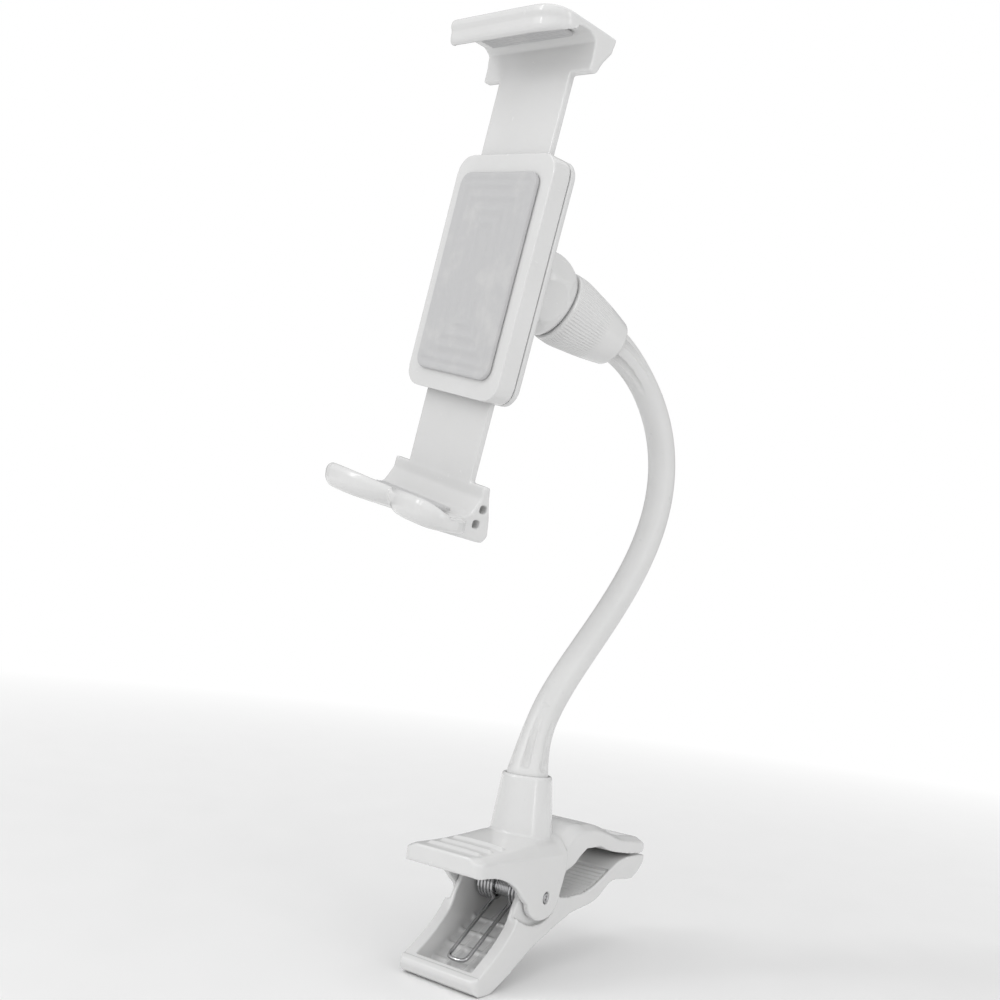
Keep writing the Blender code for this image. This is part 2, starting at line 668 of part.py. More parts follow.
def make_cup():
    outer = [polar(CUP_RADIUS, a) for a in (20, 34, 48, 62, 76, 90, 102, 112)]
    inner = [polar(BALL_RADIUS + GAP, a) for a in (116, 102, 90, 76, 62, 48, 34, 22)]
    return turned("ball_cup", outer + inner, JOINT_FRAME, steps=32, closed=True)


def make_ball():
    piece = ball("swivel_ball", (0, 0, 0), BALL_RADIUS, CRADLE_FRAME, sides=28)
    cut(piece, rod("ball_bore_tool", (0, -12, 0), (0, 3.0, 0), 2.4, CRADLE_FRAME, tool=True, sides=20))
    return piece


def make_stud():
    """The stem that carries the cradle: its thin end is in the ball and its root in the cover."""
    behind = -REST_BEHIND_BALL[1]
    root = BODY_BACK + GAP - behind
    shoulder = COVER_BACK + 2.0 - behind
    stud = turned("ball_stud", [(0, 2.6), (2.1, 2.6), (2.1, -7.9), (3.0, -8.6), (3.2, shoulder),
                                (2.6, shoulder), (2.6, root), (0, root)], CRADLE_FRAME, steps=24)
    stud.rotation_euler = (-math.pi / 2, 0, 0)
    return stud


# ---------------------------------------------------------------- cradle

def plan_box(name, half_x, half_z, low_y, high_y, corner, tool=False):
    """A slab in the cradle's plane with round corners, between two depths."""
    outline = []
    for cx, cz, start in ((1, 1, 0), (-1, 1, 90), (-1, -1, 180), (1, -1, 270)):
        outline += arc((cx * (half_x - corner), cz * (half_z - corner)), corner, start, start + 90, 4)
    rings = [[Vector((x, y, z)) for x, z in outline] for y in (low_y, high_y)]
    return loft(name, rings, CRADLE_CENTRE, tool)


def make_body():
    """The cradle's front shell, open at the back, with slots at both ends for the tongues."""
    shell = plan_box("cradle_shell", BODY_HALF_WIDTH, BODY_HALF_LENGTH, BODY_FRONT, BODY_BACK, 6.0)
    cut(shell, plan_box("shell_hollow_tool", BODY_HALF_WIDTH - BODY_WALL, BODY_HALF_LENGTH - BODY_WALL,
                        BODY_FRONT + BODY_WALL, BODY_BACK + 2, 4.4, tool=True))
    for side in (-1, 1):
        for end in (-1, 1):
            join(shell, rod("post_tool", (side * POST_X, BODY_FRONT + 1, end * POST_Z),
                            (side * POST_X, BODY_BACK, end * POST_Z), 2.5, CRADLE_CENTRE, tool=True,
                            sides=16))
            cut(shell, rod("post_bore_tool", (side * POST_X, BODY_FRONT + 2.4, end * POST_Z),
                           (side * POST_X, BODY_BACK + 2, end * POST_Z), 1.2, CRADLE_CENTRE, tool=True,
                           sides=12))
        cut(shell, box("tongue_slot_tool", (-TONGUE_HALF_WIDTH - 0.4, BODY_FRONT + BODY_WALL, side * 35 - 6),
                       (TONGUE_HALF_WIDTH + 0.4, BODY_BACK + 2, side * 35 + 6), CRADLE_CENTRE, tool=True))
    join(shell, rod("pinion_post_tool", (0, BODY_FRONT + 1, 0), (0, BODY_BACK - 0.6, 0), 1.9, CRADLE_CENTRE,
                    tool=True, sides=20))
    return shell


def make_cover():
    cover = plan_box("rear_cover", BODY_HALF_WIDTH, BODY_HALF_LENGTH, BODY_BACK + GAP, COVER_BACK, 6.0)
    join(cover, rod("cover_boss_tool", (0, COVER_BACK - 1, 2.0), (0, COVER_BACK + 1.9, 2.0), 8.6,
                    CRADLE_CENTRE, tool=True, sides=32, end_radius=6.2))
    cut(cover, rod("stud_bore_tool", (0, 0, 2.0), (0, 20, 2.0), 2.9, CRADLE_CENTRE, tool=True, sides=24))
    for side in (-1, 1):
        for end in (-1, 1):
            place = (side * POST_X, end * POST_Z)
            cut(cover,
                rod("cover_hole_tool", (place[0], 0, place[1]), (place[0], 20, place[1]), 1.2, CRADLE_CENTRE,
                    tool=True, sides=12),
                rod("cover_sink_tool", (place[0], COVER_BACK - 0.9, place[1]), (place[0], 20, place[1]), 2.1,
                    CRADLE_CENTRE, tool=True, sides=16))
    return cover


def make_cover_screws():
    screws = []
    names = {(-1, 1): "upper_left", (1, 1): "upper_right", (-1, -1): "lower_left", (1, -1): "lower_right"}
    for (side, end), place in names.items():
        screw = turned("cover_screw_" + place,
                       [(0, 0), (1.7, 0), (1.7, -0.6), (0.9, -0.6), (0.9, -5.6), (0, -5.6)],
                       CRADLE_CENTRE, steps=16)
        screw.location = Vector((side * POST_X, COVER_BACK - 0.1, end * POST_Z)) * MM
        screw.rotation_euler = (-math.pi / 2, 0, 0)
        screws.append(screw)
    return screws


def make_rest_pad():
    return plan_box("rest_pad", REST_HALF_WIDTH, REST_HALF_LENGTH, 0.0, BODY_FRONT - GAP, 4.0)


def tooth_angles():
    return [2 * math.pi * i / TEETH for i in range(TEETH)]


def make_pinion():
    """The gear that ties the two tongues together, so that both jaws travel alike."""
    quarter = math.pi / TEETH / 2
    ring = []
    for base in tooth_angles():
        for radius, turn in ((4.9, -1.62), (5.9, -0.80), (6.7, -0.38), (6.7, 0.38), (5.9, 0.80), (4.9, 1.62)):
            angle = base + turn * quarter
            ring.append((radius * math.cos(angle), radius * math.sin(angle)))
    low, high = BODY_FRONT + BODY_WALL + 0.3, BODY_BACK - 0.2
    rings = [[Vector((x, y, z)) for x, z in ring] for y in (low, high)]
    gear = loft("pinion", rings, CRADLE_CENTRE)
    cut(gear, rod("pinion_bore_tool", (0, 0, 0), (0, 12, 0), 2.2, CRADLE_CENTRE, tool=True, sides=20))
    return gear


def tongue_outline(jaw):
    """Fork-shaped tongue with a rack along one leg, in (x, z), for the jaw above (+1)."""
    pitch = math.pi * 2 * PITCH_RADIUS / TEETH
    rack = []
    tooth = -2
    while tooth <= 8:
        middle = (tooth + 0.5) * pitch
        if middle > -TONGUE_END + 0.8:
            rack += [(7.1, middle - 1.05), (5.35, middle - 0.42),
                     (5.35, middle + 0.42), (7.1, middle + 1.05)]
        tooth += 1
    end = -TONGUE_END
    outline = [(7.1, end)] + rack + [(7.1, 31.5), (-7.7, 31.5), (-7.7, end), (-TONGUE_HALF_WIDTH, end),
                                     (-TONGUE_HALF_WIDTH, 66.0), (TONGUE_HALF_WIDTH, 66.0)]
    lug = [(TONGUE_HALF_WIDTH, 22.5), (20.9, 22.5), (20.9, 20.0), (TONGUE_HALF_WIDTH, 20.0)]
    outline += lug + [(TONGUE_HALF_WIDTH, end)]
    return [(x * jaw, z * jaw) for x, z in outline]


def make_tongue_slab(name, jaw, layer, tool=False):
    low = TONGUE_LAYERS[layer]
    outline = tongue_outline(jaw)
    rings = [[Vector((x, y, z)) for x, z in outline] for y in (low, low + TONGUE_THICKNESS)]
    return loft(name, rings, CRADLE_CENTRE, tool)


def jaw_block(name, jaw, sections):
    """A jaw skinned through sections at several x; z is mirrored for the lower jaw."""
    rings = []
    for x, points in sections:
        rings.append([Vector((x, y, z * jaw)) for y, z in points])
    return loft(name, rings, CRADLE_CENTRE, tool=True)


def upper_jaw_profile(front, drop):
    """Side profile of the upper jaw: hooked lip, top plate and a gusset down to the tongue."""
    top = 76.3 - drop
    return [(front + 0.2, top), (front - 0.9, top - 0.7), (front - 1.0, 72.8), (front - 0.2, 72.2),
            (front, 69.3), (front + 0.8, 68.5), (front + 2.0, 68.6), (front + 2.9, 69.6),
            (front + 3.2, 72.9), (0.6, 72.9), (3.2, 71.4), (3.8, 66.6), (3.8, 62.8), (6.6, 62.8),
            (8.0, 66.4), (10.6, 70.3), (11.1, 74.6), (10.3, top - 0.4)]


def make_upper_jaw():
    sections = []
    for x, front, drop in ((-25.4, -8.6, 1.0), (-24.2, -11.2, 0.4), (-21.6, -12.7, 0.1), (-17.5, -13.1, 0),
                           (0, -13.1, 0), (17.5, -13.1, 0), (21.6, -12.7, 0.1), (24.2, -11.2, 0.4),
                           (25.4, -8.6, 1.0)):
        sections.append((x, upper_jaw_profile(front, drop)))
    jaw = make_tongue_slab("upper_jaw", 1, 0)
    join(jaw, jaw_block("upper_jaw_tool", 1, sections))
    return jaw


def cheek_profile(front, top):
    """Round lip of the lower jaw, before it is turned over: outer side first, then the inner side."""
    return [(front + 3.4, CHEEK_FOOT), (front + 1.2, CHEEK_FOOT - 0.7), (front + 0.2, CHEEK_FOOT - 2.2),
            (front, 74.0), (front + 0.5, top + 1.5), (front + 1.6, top), (front + 2.8, top + 0.1),
            (front + 3.9, 73.0)]


def lower_jaw_section(front):
    """Side profile of the lower jaw, before it is turned over: lip, floor and gusset."""
    return cheek_profile(front, 70.1) + [(0.6, 73.0), (3.4, 71.6), (5.9, 66.6), (5.9, 62.8), (8.3, 62.8),
                                         (8.9, 66.6), (10.9, 72.8), (11.9, 78.0), (10.2, 80.1), (8.6, 80.1)]


def make_lower_jaw():
    """The lower jaw: two cheeks that meet in a pinch and reach out past its sides as wings."""
    middle = []
    for i in range(-8, 9):
        x = CHEEK_SIDE * i / 8
        middle.append((x, lower_jaw_section(-11.6 - 6.8 * min(1.0, abs(x) / 20.0) ** 0.6)))
    jaw = make_tongue_slab("lower_jaw", -1, 1)
    join(jaw, jaw_block("lower_jaw_tool", -1, middle))
    for side in (-1, 1):
        wing = [(side * x, cheek_profile(front, top) + [(back, 73.0), (back, CHEEK_FOOT)])
                for x, front, back, top in CHEEK_WING]
        join(jaw, jaw_block("wing_tool", -1, wing))
        for z in (-69.4, -74.6):
            cut(jaw, box("side_notch_tool", (side * CHEEK_SIDE - 4, 7.2, z - 0.9),
                         (side * CHEEK_SIDE + 4, 9.0, z + 0.9), CRADLE_CENTRE, tool=True))
    return jaw


def make_lip_pad(name, jaw):
    low, high = PHONE_HALF_LENGTH, PHONE_HALF_LENGTH + 1.1
    low, high = sorted((low * jaw, high * jaw))
    return box(name, (-19.0, -7.6, low), (19.0, -0.4, high), CRADLE_CENTRE)


def make_cradle_spring(name, side):
    """Extension spring from a corner post to a tongue's lug, with straight ends."""
    steps, turns, radius, wire_radius = 8, 16, 1.25, 0.28
    low, high = -30.6, 19.5
    coil_low, coil_high = -20.0, 8.0
    y = BODY_FRONT + BODY_WALL + 2.3
    points = [Vector((0, 0, low))]
    for i in range(turns * steps + 1):
        turn = 2 * math.pi * i / steps
        z = coil_low + (coil_high - coil_low) * i / (turns * steps)
        points.append(Vector((radius * math.cos(turn), radius * math.sin(turn), z)))
    points.append(Vector((0, 0, high)))
    placed = [Vector((side * CRADLE_SPRING_X + p.x, y + p.y, side * p.z)) for p in points]
    return wire(name, placed, wire_radius, CRADLE_CENTRE, resolution=0)


# ---------------------------------------------------------------- assembly

def build():
    gloss = make_material("gloss_white_plastic", WHITE, 0.28)
    satin = make_material("satin_white_plastic", SOFT_WHITE, 0.42)
    sleeve = make_material("sleeve_white_vinyl", WHITE, 0.35)
    rubber = make_material("grey_rubber", GREY, 0.75)
    steel = make_material("bright_steel", STEEL, 0.2, 1.0)
    inner = make_material("natural_nylon", SOFT_WHITE, 0.5)

    give(make_upper_lever(), gloss)
    give(make_lower_lever(), gloss)
    give(make_pad("upper_grip_pad", UPPER_PAD, 1), satin)
    give(make_pad("lower_grip_pad", LOWER_PAD, -1), satin)
    give(make_pin(), steel)
    give(make_spool(), steel)
    give(make_spring(), steel)
    for i, piece in enumerate(make_neck()):
        give(piece, steel if i % 2 else sleeve)
    give(make_foot_plug(), steel)
    give(make_foot_screw(), steel)
    give(make_head_plug(), steel)
    give(make_collar(), gloss)
    give(make_nut(), gloss)
    give(make_cup(), inner)
    give(make_ball(), inner)
    give(make_stud(), steel)
    give(make_body(), gloss)
    give(make_cover(), satin)
    for screw in make_cover_screws():
        give(screw, steel)
    give(make_rest_pad(), rubber)
    give(make_pinion(), inner)
    give(make_upper_jaw(), gloss)
    give(make_lower_jaw(), gloss)
    give(make_lip_pad("upper_lip_pad", 1), rubber)
    give(make_lip_pad("lower_lip_pad", -1), rubber)
    give(make_cradle_spring("right_cradle_spring", 1), steel)
    give(make_cradle_spring("left_cradle_spring", -1), steel)
    for obj in PARTS.objects:
        if obj.type == "MESH":
            smooth_shade(obj)


clear_scene()
PARTS = new_collection("clip_on_phone_stand")
TOOLS = new_collection("cutters")
GRIP_FRAME = make_empty("grip_frame", -Vector(GRIP_FACE))
JOINT_FRAME = make_empty("ball_joint_frame", BALL_CENTRE,
                         Vector(COLLAR_AXIS).to_track_quat("Z", "Y").to_euler(), GRIP_FRAME)
CRADLE_FRAME = make_empty("cradle_frame", BALL_CENTRE,
                          Euler([math.radians(a) for a in CRADLE_TURN]), GRIP_FRAME)
CRADLE_CENTRE = make_empty("cradle_centre", REST_BEHIND_BALL, parent=CRADLE_FRAME)
build()
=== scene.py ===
"""Looks of the clip-on phone stand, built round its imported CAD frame.

Shapes are worked out in millimetres, in one of three places: the pin frame (from the middle of
the hinge pin), the ball frame (Z along the collar) and the cradle frame (Z towards the upper jaw,
Y away from the phone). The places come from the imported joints.
"""

import json
import math

import bmesh
import bpy
import numpy as np
from mathutils import Matrix, Vector


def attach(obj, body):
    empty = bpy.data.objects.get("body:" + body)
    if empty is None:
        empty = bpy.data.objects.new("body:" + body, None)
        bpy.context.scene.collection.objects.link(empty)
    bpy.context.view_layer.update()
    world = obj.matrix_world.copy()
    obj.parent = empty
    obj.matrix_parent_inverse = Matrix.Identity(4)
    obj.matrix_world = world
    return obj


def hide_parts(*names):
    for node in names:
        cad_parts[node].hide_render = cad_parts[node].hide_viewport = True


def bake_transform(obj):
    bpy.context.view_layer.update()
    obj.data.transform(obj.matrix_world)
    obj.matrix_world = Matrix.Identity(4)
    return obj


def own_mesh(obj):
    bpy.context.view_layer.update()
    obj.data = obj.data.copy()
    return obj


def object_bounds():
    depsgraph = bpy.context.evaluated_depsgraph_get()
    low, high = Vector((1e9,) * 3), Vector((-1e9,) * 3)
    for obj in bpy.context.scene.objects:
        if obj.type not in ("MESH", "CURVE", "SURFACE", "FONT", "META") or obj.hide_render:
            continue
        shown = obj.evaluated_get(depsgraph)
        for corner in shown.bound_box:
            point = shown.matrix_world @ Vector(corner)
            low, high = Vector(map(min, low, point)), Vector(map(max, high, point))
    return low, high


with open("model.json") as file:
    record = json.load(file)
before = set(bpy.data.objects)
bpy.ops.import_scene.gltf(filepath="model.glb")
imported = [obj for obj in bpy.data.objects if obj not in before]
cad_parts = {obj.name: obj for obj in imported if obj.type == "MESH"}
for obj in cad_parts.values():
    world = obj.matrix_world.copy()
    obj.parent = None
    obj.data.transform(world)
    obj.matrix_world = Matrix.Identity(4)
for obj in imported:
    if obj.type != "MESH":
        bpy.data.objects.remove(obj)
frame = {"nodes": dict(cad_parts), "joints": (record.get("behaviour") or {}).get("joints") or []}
CAD_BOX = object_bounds()

MM = 0.001
JOINTS = {joint["name"]: joint for joint in frame["joints"]}


def joint_place(name):
    return Vector(JOINTS[name]["pos_m"])


def joint_axis(name):
    return Vector(JOINTS[name]["axis"]).normalized()


def placed(rotation, place):
    """A matrix from millimetres in a local frame to metres in the row frame."""
    return Matrix.Translation(place) @ rotation.to_4x4() @ Matrix.Scale(MM, 4)


PIN = joint_place("clip_squeeze")
BALL = joint_place("cradle_pitch")
RIGHT = joint_axis("cradle_pitch")
UP = joint_axis("cradle_yaw")
BACK = UP.cross(RIGHT).normalized()
COLLAR_AXIS = joint_axis("nut_turn")
CRADLE_TURN = Matrix((RIGHT, BACK, UP)).transposed()

PIN_FRAME = placed(Matrix.Identity(3), PIN)
BALL_FRAME = placed(COLLAR_AXIS.to_track_quat("Z", "Y").to_matrix(), BALL)
CRADLE_FRAME = placed(CRADLE_TURN, BALL)
REST_BEHIND_BALL = Vector((0.0, -23.2, -2.0))
CRADLE_CENTRE = CRADLE_FRAME @ Matrix.Translation(REST_BEHIND_BALL)
BALL_IN_MM = (BALL - PIN) / MM


# ---------------------------------------------------------------- mesh helpers

SAME_POINT = 1e-4              # points nearer than this are one point
WEAR_AND_HIGHLIGHT_RADIUS = 0.0016           # a convex edge this tight or tighter counts as fully worn and gets the full painted highlight
WEAR_AND_HIGHLIGHT_PASSES = 10               # rounds of averaging that spread the wear and the painted highlight round an edge


def mesh_object(name, bm):
    """A scene object from a bmesh, with its faces turned outward."""
    bmesh.ops.recalc_face_normals(bm, faces=bm.faces)
    mesh = bpy.data.meshes.new(name)
    bm.to_mesh(mesh)
    bm.free()
    obj = bpy.data.objects.new(name, mesh)
    bpy.context.scene.collection.objects.link(obj)
    return obj


def angles(sides):
    return [2 * math.pi * k / sides for k in range(sides)]


def circle(radius, z, sides):
    return [Vector((radius * math.cos(a), radius * math.sin(a), z)) for a in angles(sides)]


def skin(rings, loop=False):
    """A bmesh skinned through rings of equal length, with its ends capped or joined in a loop."""
    bm = bmesh.new()
    loops = [[bm.verts.new(co) for co in ring] for ring in rings]
    count = len(loops[0])
    pairs = list(zip(loops, loops[1:]))
    if loop:
        pairs.append((loops[-1], loops[0]))
    for a, b in pairs:
        for i in range(count):
            j = (i + 1) % count
            bm.faces.new((a[i], a[j], b[j], b[i]))
    if not loop:
        bm.faces.new(loops[0])
        bm.faces.new(loops[-1])
    return bm


def loft(rings):
    return mesh_object("loft", skin(rings))


def extrude_side(outline, low_x, high_x):
    """A plate with an outline in (y, z), between two values of x."""
    return loft([[Vector((x, y, z)) for y, z in outline] for x in (low_x, high_x)])


def box(low, high):
    corners = [(low[0], low[1]), (high[0], low[1]), (high[0], high[1]), (low[0], high[1])]
    return loft([[Vector((x, y, z)) for x, y in corners] for z in (low[2], high[2])])


def rod(start, end, radius, end_radius=None, sides=48):
    start, end = Vector(start), Vector(end)
    bm = bmesh.new()
    turn = (end - start).to_track_quat("Z", "Y").to_matrix().to_4x4()
    bmesh.ops.create_cone(bm, cap_ends=True, segments=sides, radius1=radius,
                          radius2=radius if end_radius is None else end_radius,
                          depth=(end - start).length,
                          matrix=Matrix.Translation((start + end) / 2) @ turn)
    return mesh_object("rod", bm)


def rounded(points, radius, steps=4, closed=True):
    """The outline with its corners rounded as far as its sides allow."""
    count = len(points)
    run = []
    for i, corner in enumerate(points):
        p = Vector(corner)
        if not closed and i in (0, count - 1):
            run.append(tuple(p))
            continue
        before, after = Vector(points[i - 1]) - p, Vector(points[(i + 1) % count]) - p
        reach = min(radius, before.length * 0.45, after.length * 0.45)
        start, end = p + before.normalized() * reach, p + after.normalized() * reach
        for k in range(steps + 1):
            t = k / steps
            run.append(tuple(start * (1 - t) ** 2 + p * 2 * t * (1 - t) + end * t ** 2))
    return run


def turned(profile, segments=96):
    """A closed ring or solid turned about Z from a profile of (radius, z)."""
    bm = bmesh.new()
    columns = [[bm.verts.new((r * math.cos(a), r * math.sin(a), z)) for r, z in profile]
               for a in angles(segments)]
    count = len(profile)
    for i in range(segments):
        a, b = columns[i], columns[(i + 1) % segments]
        for k in range(count):
            n = (k + 1) % count
            bm.faces.new((a[k], b[k], b[n], a[n]))
    bmesh.ops.remove_doubles(bm, verts=bm.verts, dist=SAME_POINT)
    loose = [edge for edge in bm.edges if not edge.link_faces]
    bmesh.ops.delete(bm, geom=loose, context="EDGES")
    return bm


def tube(points, radius, sides):
    """A round tube through points, with flat ends."""
    rings = []
    normal = None
    for i, p in enumerate(points):
        along = (points[min(i + 1, len(points) - 1)] - points[max(i - 1, 0)]).normalized()
        if normal is None:
            normal = along.orthogonal().normalized()
        normal = (normal - along * normal.dot(along)).normalized()
        other = along.cross(normal)
        rings.append([p + (normal * math.cos(a) + other * math.sin(a)) * radius
                      for a in angles(sides)])
    return skin(rings)


def flow(points, steps=6):
    """A smooth run through a few points (Catmull-Rom)."""
    ends = [points[0]] + list(points) + [points[-1]]
    run = []
    for i in range(1, len(ends) - 2):
        p0, p1, p2, p3 = (Vector(ends[i + k]) for k in (-1, 0, 1, 2))
        for k in range(steps):
            t = k / steps
            run.append(0.5 * (2 * p1 + (p2 - p0) * t + (2 * p0 - 5 * p1 + 4 * p2 - p3) * t ** 2
                              + (3 * p1 - p0 - 3 * p2 + p3) * t ** 3))
    run.append(Vector(points[-1]))
    return [tuple(p) for p in run]


def arc(centre, radius, start, end, steps, squash=1.0):
    """Points on an arc between two angles in degrees."""
    run = []
    for i in range(steps + 1):
        a = math.radians(start + (end - start) * i / steps)
        run.append((centre[0] + radius * math.cos(a), centre[1] + radius * squash * math.sin(a)))
    return run


def table_value(table, x):
    """The value at x, on straight lines between the table's (x, value) pairs."""
    if x <= table[0][0]:
        return table[0][1]
    for (x0, v0), (x1, v1) in zip(table, table[1:]):
        if x <= x1:
            return v0 + (v1 - v0) * (x - x0) / (x1 - x0)
    return table[-1][1]


def bake(obj):
    """Apply every modifier of a working solid."""
    bpy.context.view_layer.update()
    graph = bpy.context.evaluated_depsgraph_get()
    mesh = bpy.data.meshes.new_from_object(obj.evaluated_get(graph))
    obj.modifiers.clear()
    obj.data = mesh


def combine(base, tools, operation):
    """Exact boolean of the base with each tool; the tools are used up."""
    for tool in tools:
        modifier = base.modifiers.new("boolean", "BOOLEAN")
        modifier.operation = operation
        modifier.solver = "EXACT"
        modifier.object = tool
    bake(base)
    for tool in tools:
        bpy.data.objects.remove(tool, do_unlink=True)


def soften(obj, voxel, rounds, kept):
    """Turn a hard-edged solid into a moulded one: an even skin with its edges worn round."""
    remesh = obj.modifiers.new("remesh", "REMESH")
    remesh.mode = "VOXEL"
    remesh.voxel_size = voxel
    smooth = obj.modifiers.new("smooth", "SMOOTH")
    smooth.factor = 0.5
    smooth.iterations = rounds
    decimate = obj.modifiers.new("decimate", "DECIMATE")
    decimate.ratio = kept
    bake(obj)


def column(items, field, width, kind=np.float32):
    """One field of every item, as an array with a row for each."""
    values = np.empty(len(items) * width, kind)
    items.foreach_get(field, values)
    return values.reshape(-1, width)


def mark_wear_and_highlight(obj):
    """Store how convex the surface is at each point, from 0 on flats to 1 on tight edges; rougher
    wear and a painted highlight follow it.
    """
    mesh = obj.data
    count = len(mesh.vertices)
    points = column(mesh.vertices, "co", 3).astype(float)
    normals = column(mesh.vertex_normals, "vector", 3).astype(float)
    a, b = column(mesh.edges, "vertices", 2, np.int64).T
    step = points[b] - points[a]
    squared = np.maximum((step ** 2).sum(1), 1e-14)
    degree = np.maximum(np.bincount(a, minlength=count) + np.bincount(b, minlength=count), 1)
    bend_a = -(step * normals[a]).sum(1) / squared
    bend_b = (step * normals[b]).sum(1) / squared
    bend = (np.bincount(a, bend_a, count) + np.bincount(b, bend_b, count)) / degree
    for _ in range(WEAR_AND_HIGHLIGHT_PASSES):
        around = (np.bincount(a, bend[b], count) + np.bincount(b, bend[a], count)) / degree
        bend = 0.5 * bend + 0.5 * around
    wear_and_highlight = np.clip(bend * WEAR_AND_HIGHLIGHT_RADIUS, 0.0, 1.0).astype(np.float32)
    mesh.attributes.new("wear_and_highlight", "FLOAT", "POINT").data.foreach_set("value", wear_and_highlight)


def finish_piece(obj, name, place, material, body=None, nodes=(), sharp=None):
    """Name the piece, put it in its place in the row frame and hang it on its body.
    """
    obj.name = name
    obj.data.name = name
    obj.data.transform(place)
    obj.data.shade_smooth()
    if sharp is not None:
        obj.data.set_sharp_from_angle(angle=math.radians(sharp))
    obj.data.materials.clear()
    obj.data.materials.append(material)
    mark_wear_and_highlight(obj)
    if nodes:
        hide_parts(*nodes)
    if body:
        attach(obj, body)


# ---------------------------------------------------------------- materials

class Nodes:
    """Short-hand for building one material's node tree."""

    def __init__(self, name):
        self.material = bpy.data.materials.new(name)
        self.material.use_nodes = True
        self.tree = self.material.node_tree
        self.shader = self.tree.nodes["Principled BSDF"]
        self.coords = self.add("ShaderNodeTexCoord").outputs["Object"]

    def add(self, kind, inputs=None, **settings):
        node = self.tree.nodes.new(kind)
        for key, value in settings.items():
            setattr(node, key, value)
        for key, value in (inputs or {}).items():
            node.inputs[key].default_value = value
        return node

    def link(self, out, into):
        self.tree.links.new(out, into)

    def noise(self, scale, detail=4.0, stretch=(1, 1, 1), roughness=0.55):
        mapping = self.add("ShaderNodeMapping", {"Scale": stretch})
        self.link(self.coords, mapping.inputs["Vector"])
        noise = self.add("ShaderNodeTexNoise",
                         {"Scale": scale, "Detail": detail, "Roughness": roughness})
        self.link(mapping.outputs["Vector"], noise.inputs["Vector"])
        return noise.outputs["Fac"]

    def spread(self, value, low, high, from_low=0.3, from_high=0.7):
        node = self.add("ShaderNodeMapRange", {"From Min": from_low, "From Max": from_high,
                                               "To Min": low, "To Max": high})
        self.link(value, node.inputs["Value"])
        return node.outputs["Result"]

    def sum(self, a, b, operation="ADD"):
        node = self.add("ShaderNodeMath", operation=operation)
        self.link(a, node.inputs[0])
        if isinstance(b, (int, float)):
            node.inputs[1].default_value = b
        else:
            self.link(b, node.inputs[1])
        return node.outputs[0]

    def mix(self, factor, low, high):
        node = self.add("ShaderNodeMix", data_type="RGBA")
        self.link(factor, node.inputs["Factor"])
        for key, value in (("A", low), ("B", high)):
            socket = next(s for s in node.inputs if s.name == key and s.type == "RGBA")
            if isinstance(value, tuple):
                socket.default_value = (*value, 1.0)
            else:
                self.link(value, socket)
        return next(s for s in node.outputs if s.type == "RGBA")

    def bump(self, height, strength, distance, normal=None):
        node = self.add("ShaderNodeBump", {"Strength": strength, "Distance": distance})
        self.link(height, node.inputs["Height"])
        if normal is not None:
            self.link(normal, node.inputs["Normal"])
        return node.outputs["Normal"]

    def edges(self, low, high):
        """1 on convex edges, which get wear and a painted highlight, 0 on flats and in hollows."""
        attribute = self.add("ShaderNodeAttribute", attribute_name="wear_and_highlight")
        return self.spread(attribute.outputs["Fac"], 0.0, 1.0, low, high)

    def done(self, colour, roughness, normal, **inputs):
        self.link(colour, self.shader.inputs["Base Color"])
        self.link(roughness, self.shader.inputs["Roughness"])
        self.link(normal, self.shader.inputs["Normal"])
        for name, value in inputs.items():
            self.shader.inputs[name.replace("_", " ")].default_value = value
        return self.material


def plastic(name, tone, gloss, grain, speck=0.0):
    """Moulded white plastic: flow clouds, faint scuffs, worn edges with a painted highlight, a fine
    skin.
    """
    n = Nodes(name)
    clouds = n.spread(n.noise(45.0, 3.0), 0.0, 1.0)
    low = tuple(tone * k for k in (0.965, 0.965, 0.96))
    base = n.mix(clouds, low, (tone, tone, tone * 0.998))
    dust = n.spread(n.noise(1600.0, 2.0), 0.0, speck, 0.66, 0.84)
    base = n.mix(dust, base, tuple(tone * k for k in (0.80, 0.79, 0.77)))
    # painted highlight: convex edges are painted lighter; the same mask also makes them rougher, as
    # wear
    worn_and_highlit = n.edges(0.25, 0.9)
    base = n.mix(worn_and_highlit, base, tuple(min(1.0, tone * k) for k in (1.03, 1.03, 1.03)))
    scuffs = n.spread(n.noise(420.0, 6.0, (1.0, 0.12, 1.0)), 0.0, 0.07, 0.56, 0.78)
    rough = n.sum(n.spread(n.noise(120.0, 4.0), gloss - 0.03, gloss + 0.03), scuffs)
    rough = n.sum(rough, n.sum(worn_and_highlit, 0.08, "MULTIPLY"))
    wave = n.bump(n.noise(60.0, 1.0), 0.05, 0.0002)
    skin_bump = n.bump(n.noise(2400.0, 3.0), grain, 0.00002, wave)
    return n.done(base, rough, skin_bump, Coat_Weight=0.35, Coat_Roughness=0.08, IOR=1.48)


def sleeve_vinyl(name, tone):
    """The neck's soft sleeve: a satin skin with faint rings left by bending."""
    n = Nodes(name)
    base = n.mix(n.spread(n.noise(60.0, 4.0), 0.0, 1.0), (tone * 0.96, tone * 0.96, tone * 0.955),
                 (tone, tone, tone * 0.995))
    base = n.mix(n.spread(n.noise(900.0, 2.0), 0.0, 0.35, 0.66, 0.8), base,
                 (tone * 0.86, tone * 0.85, tone * 0.83))
    rough = n.spread(n.noise(240.0, 5.0), 0.27, 0.40)
    stretch = n.bump(n.noise(130.0, 3.0, (0.5, 0.5, 1.6)), 0.14, 0.0002)
    fine = n.bump(n.noise(1900.0, 3.0), 0.10, 0.00003, stretch)
    return n.done(base, rough, fine, IOR=1.5)


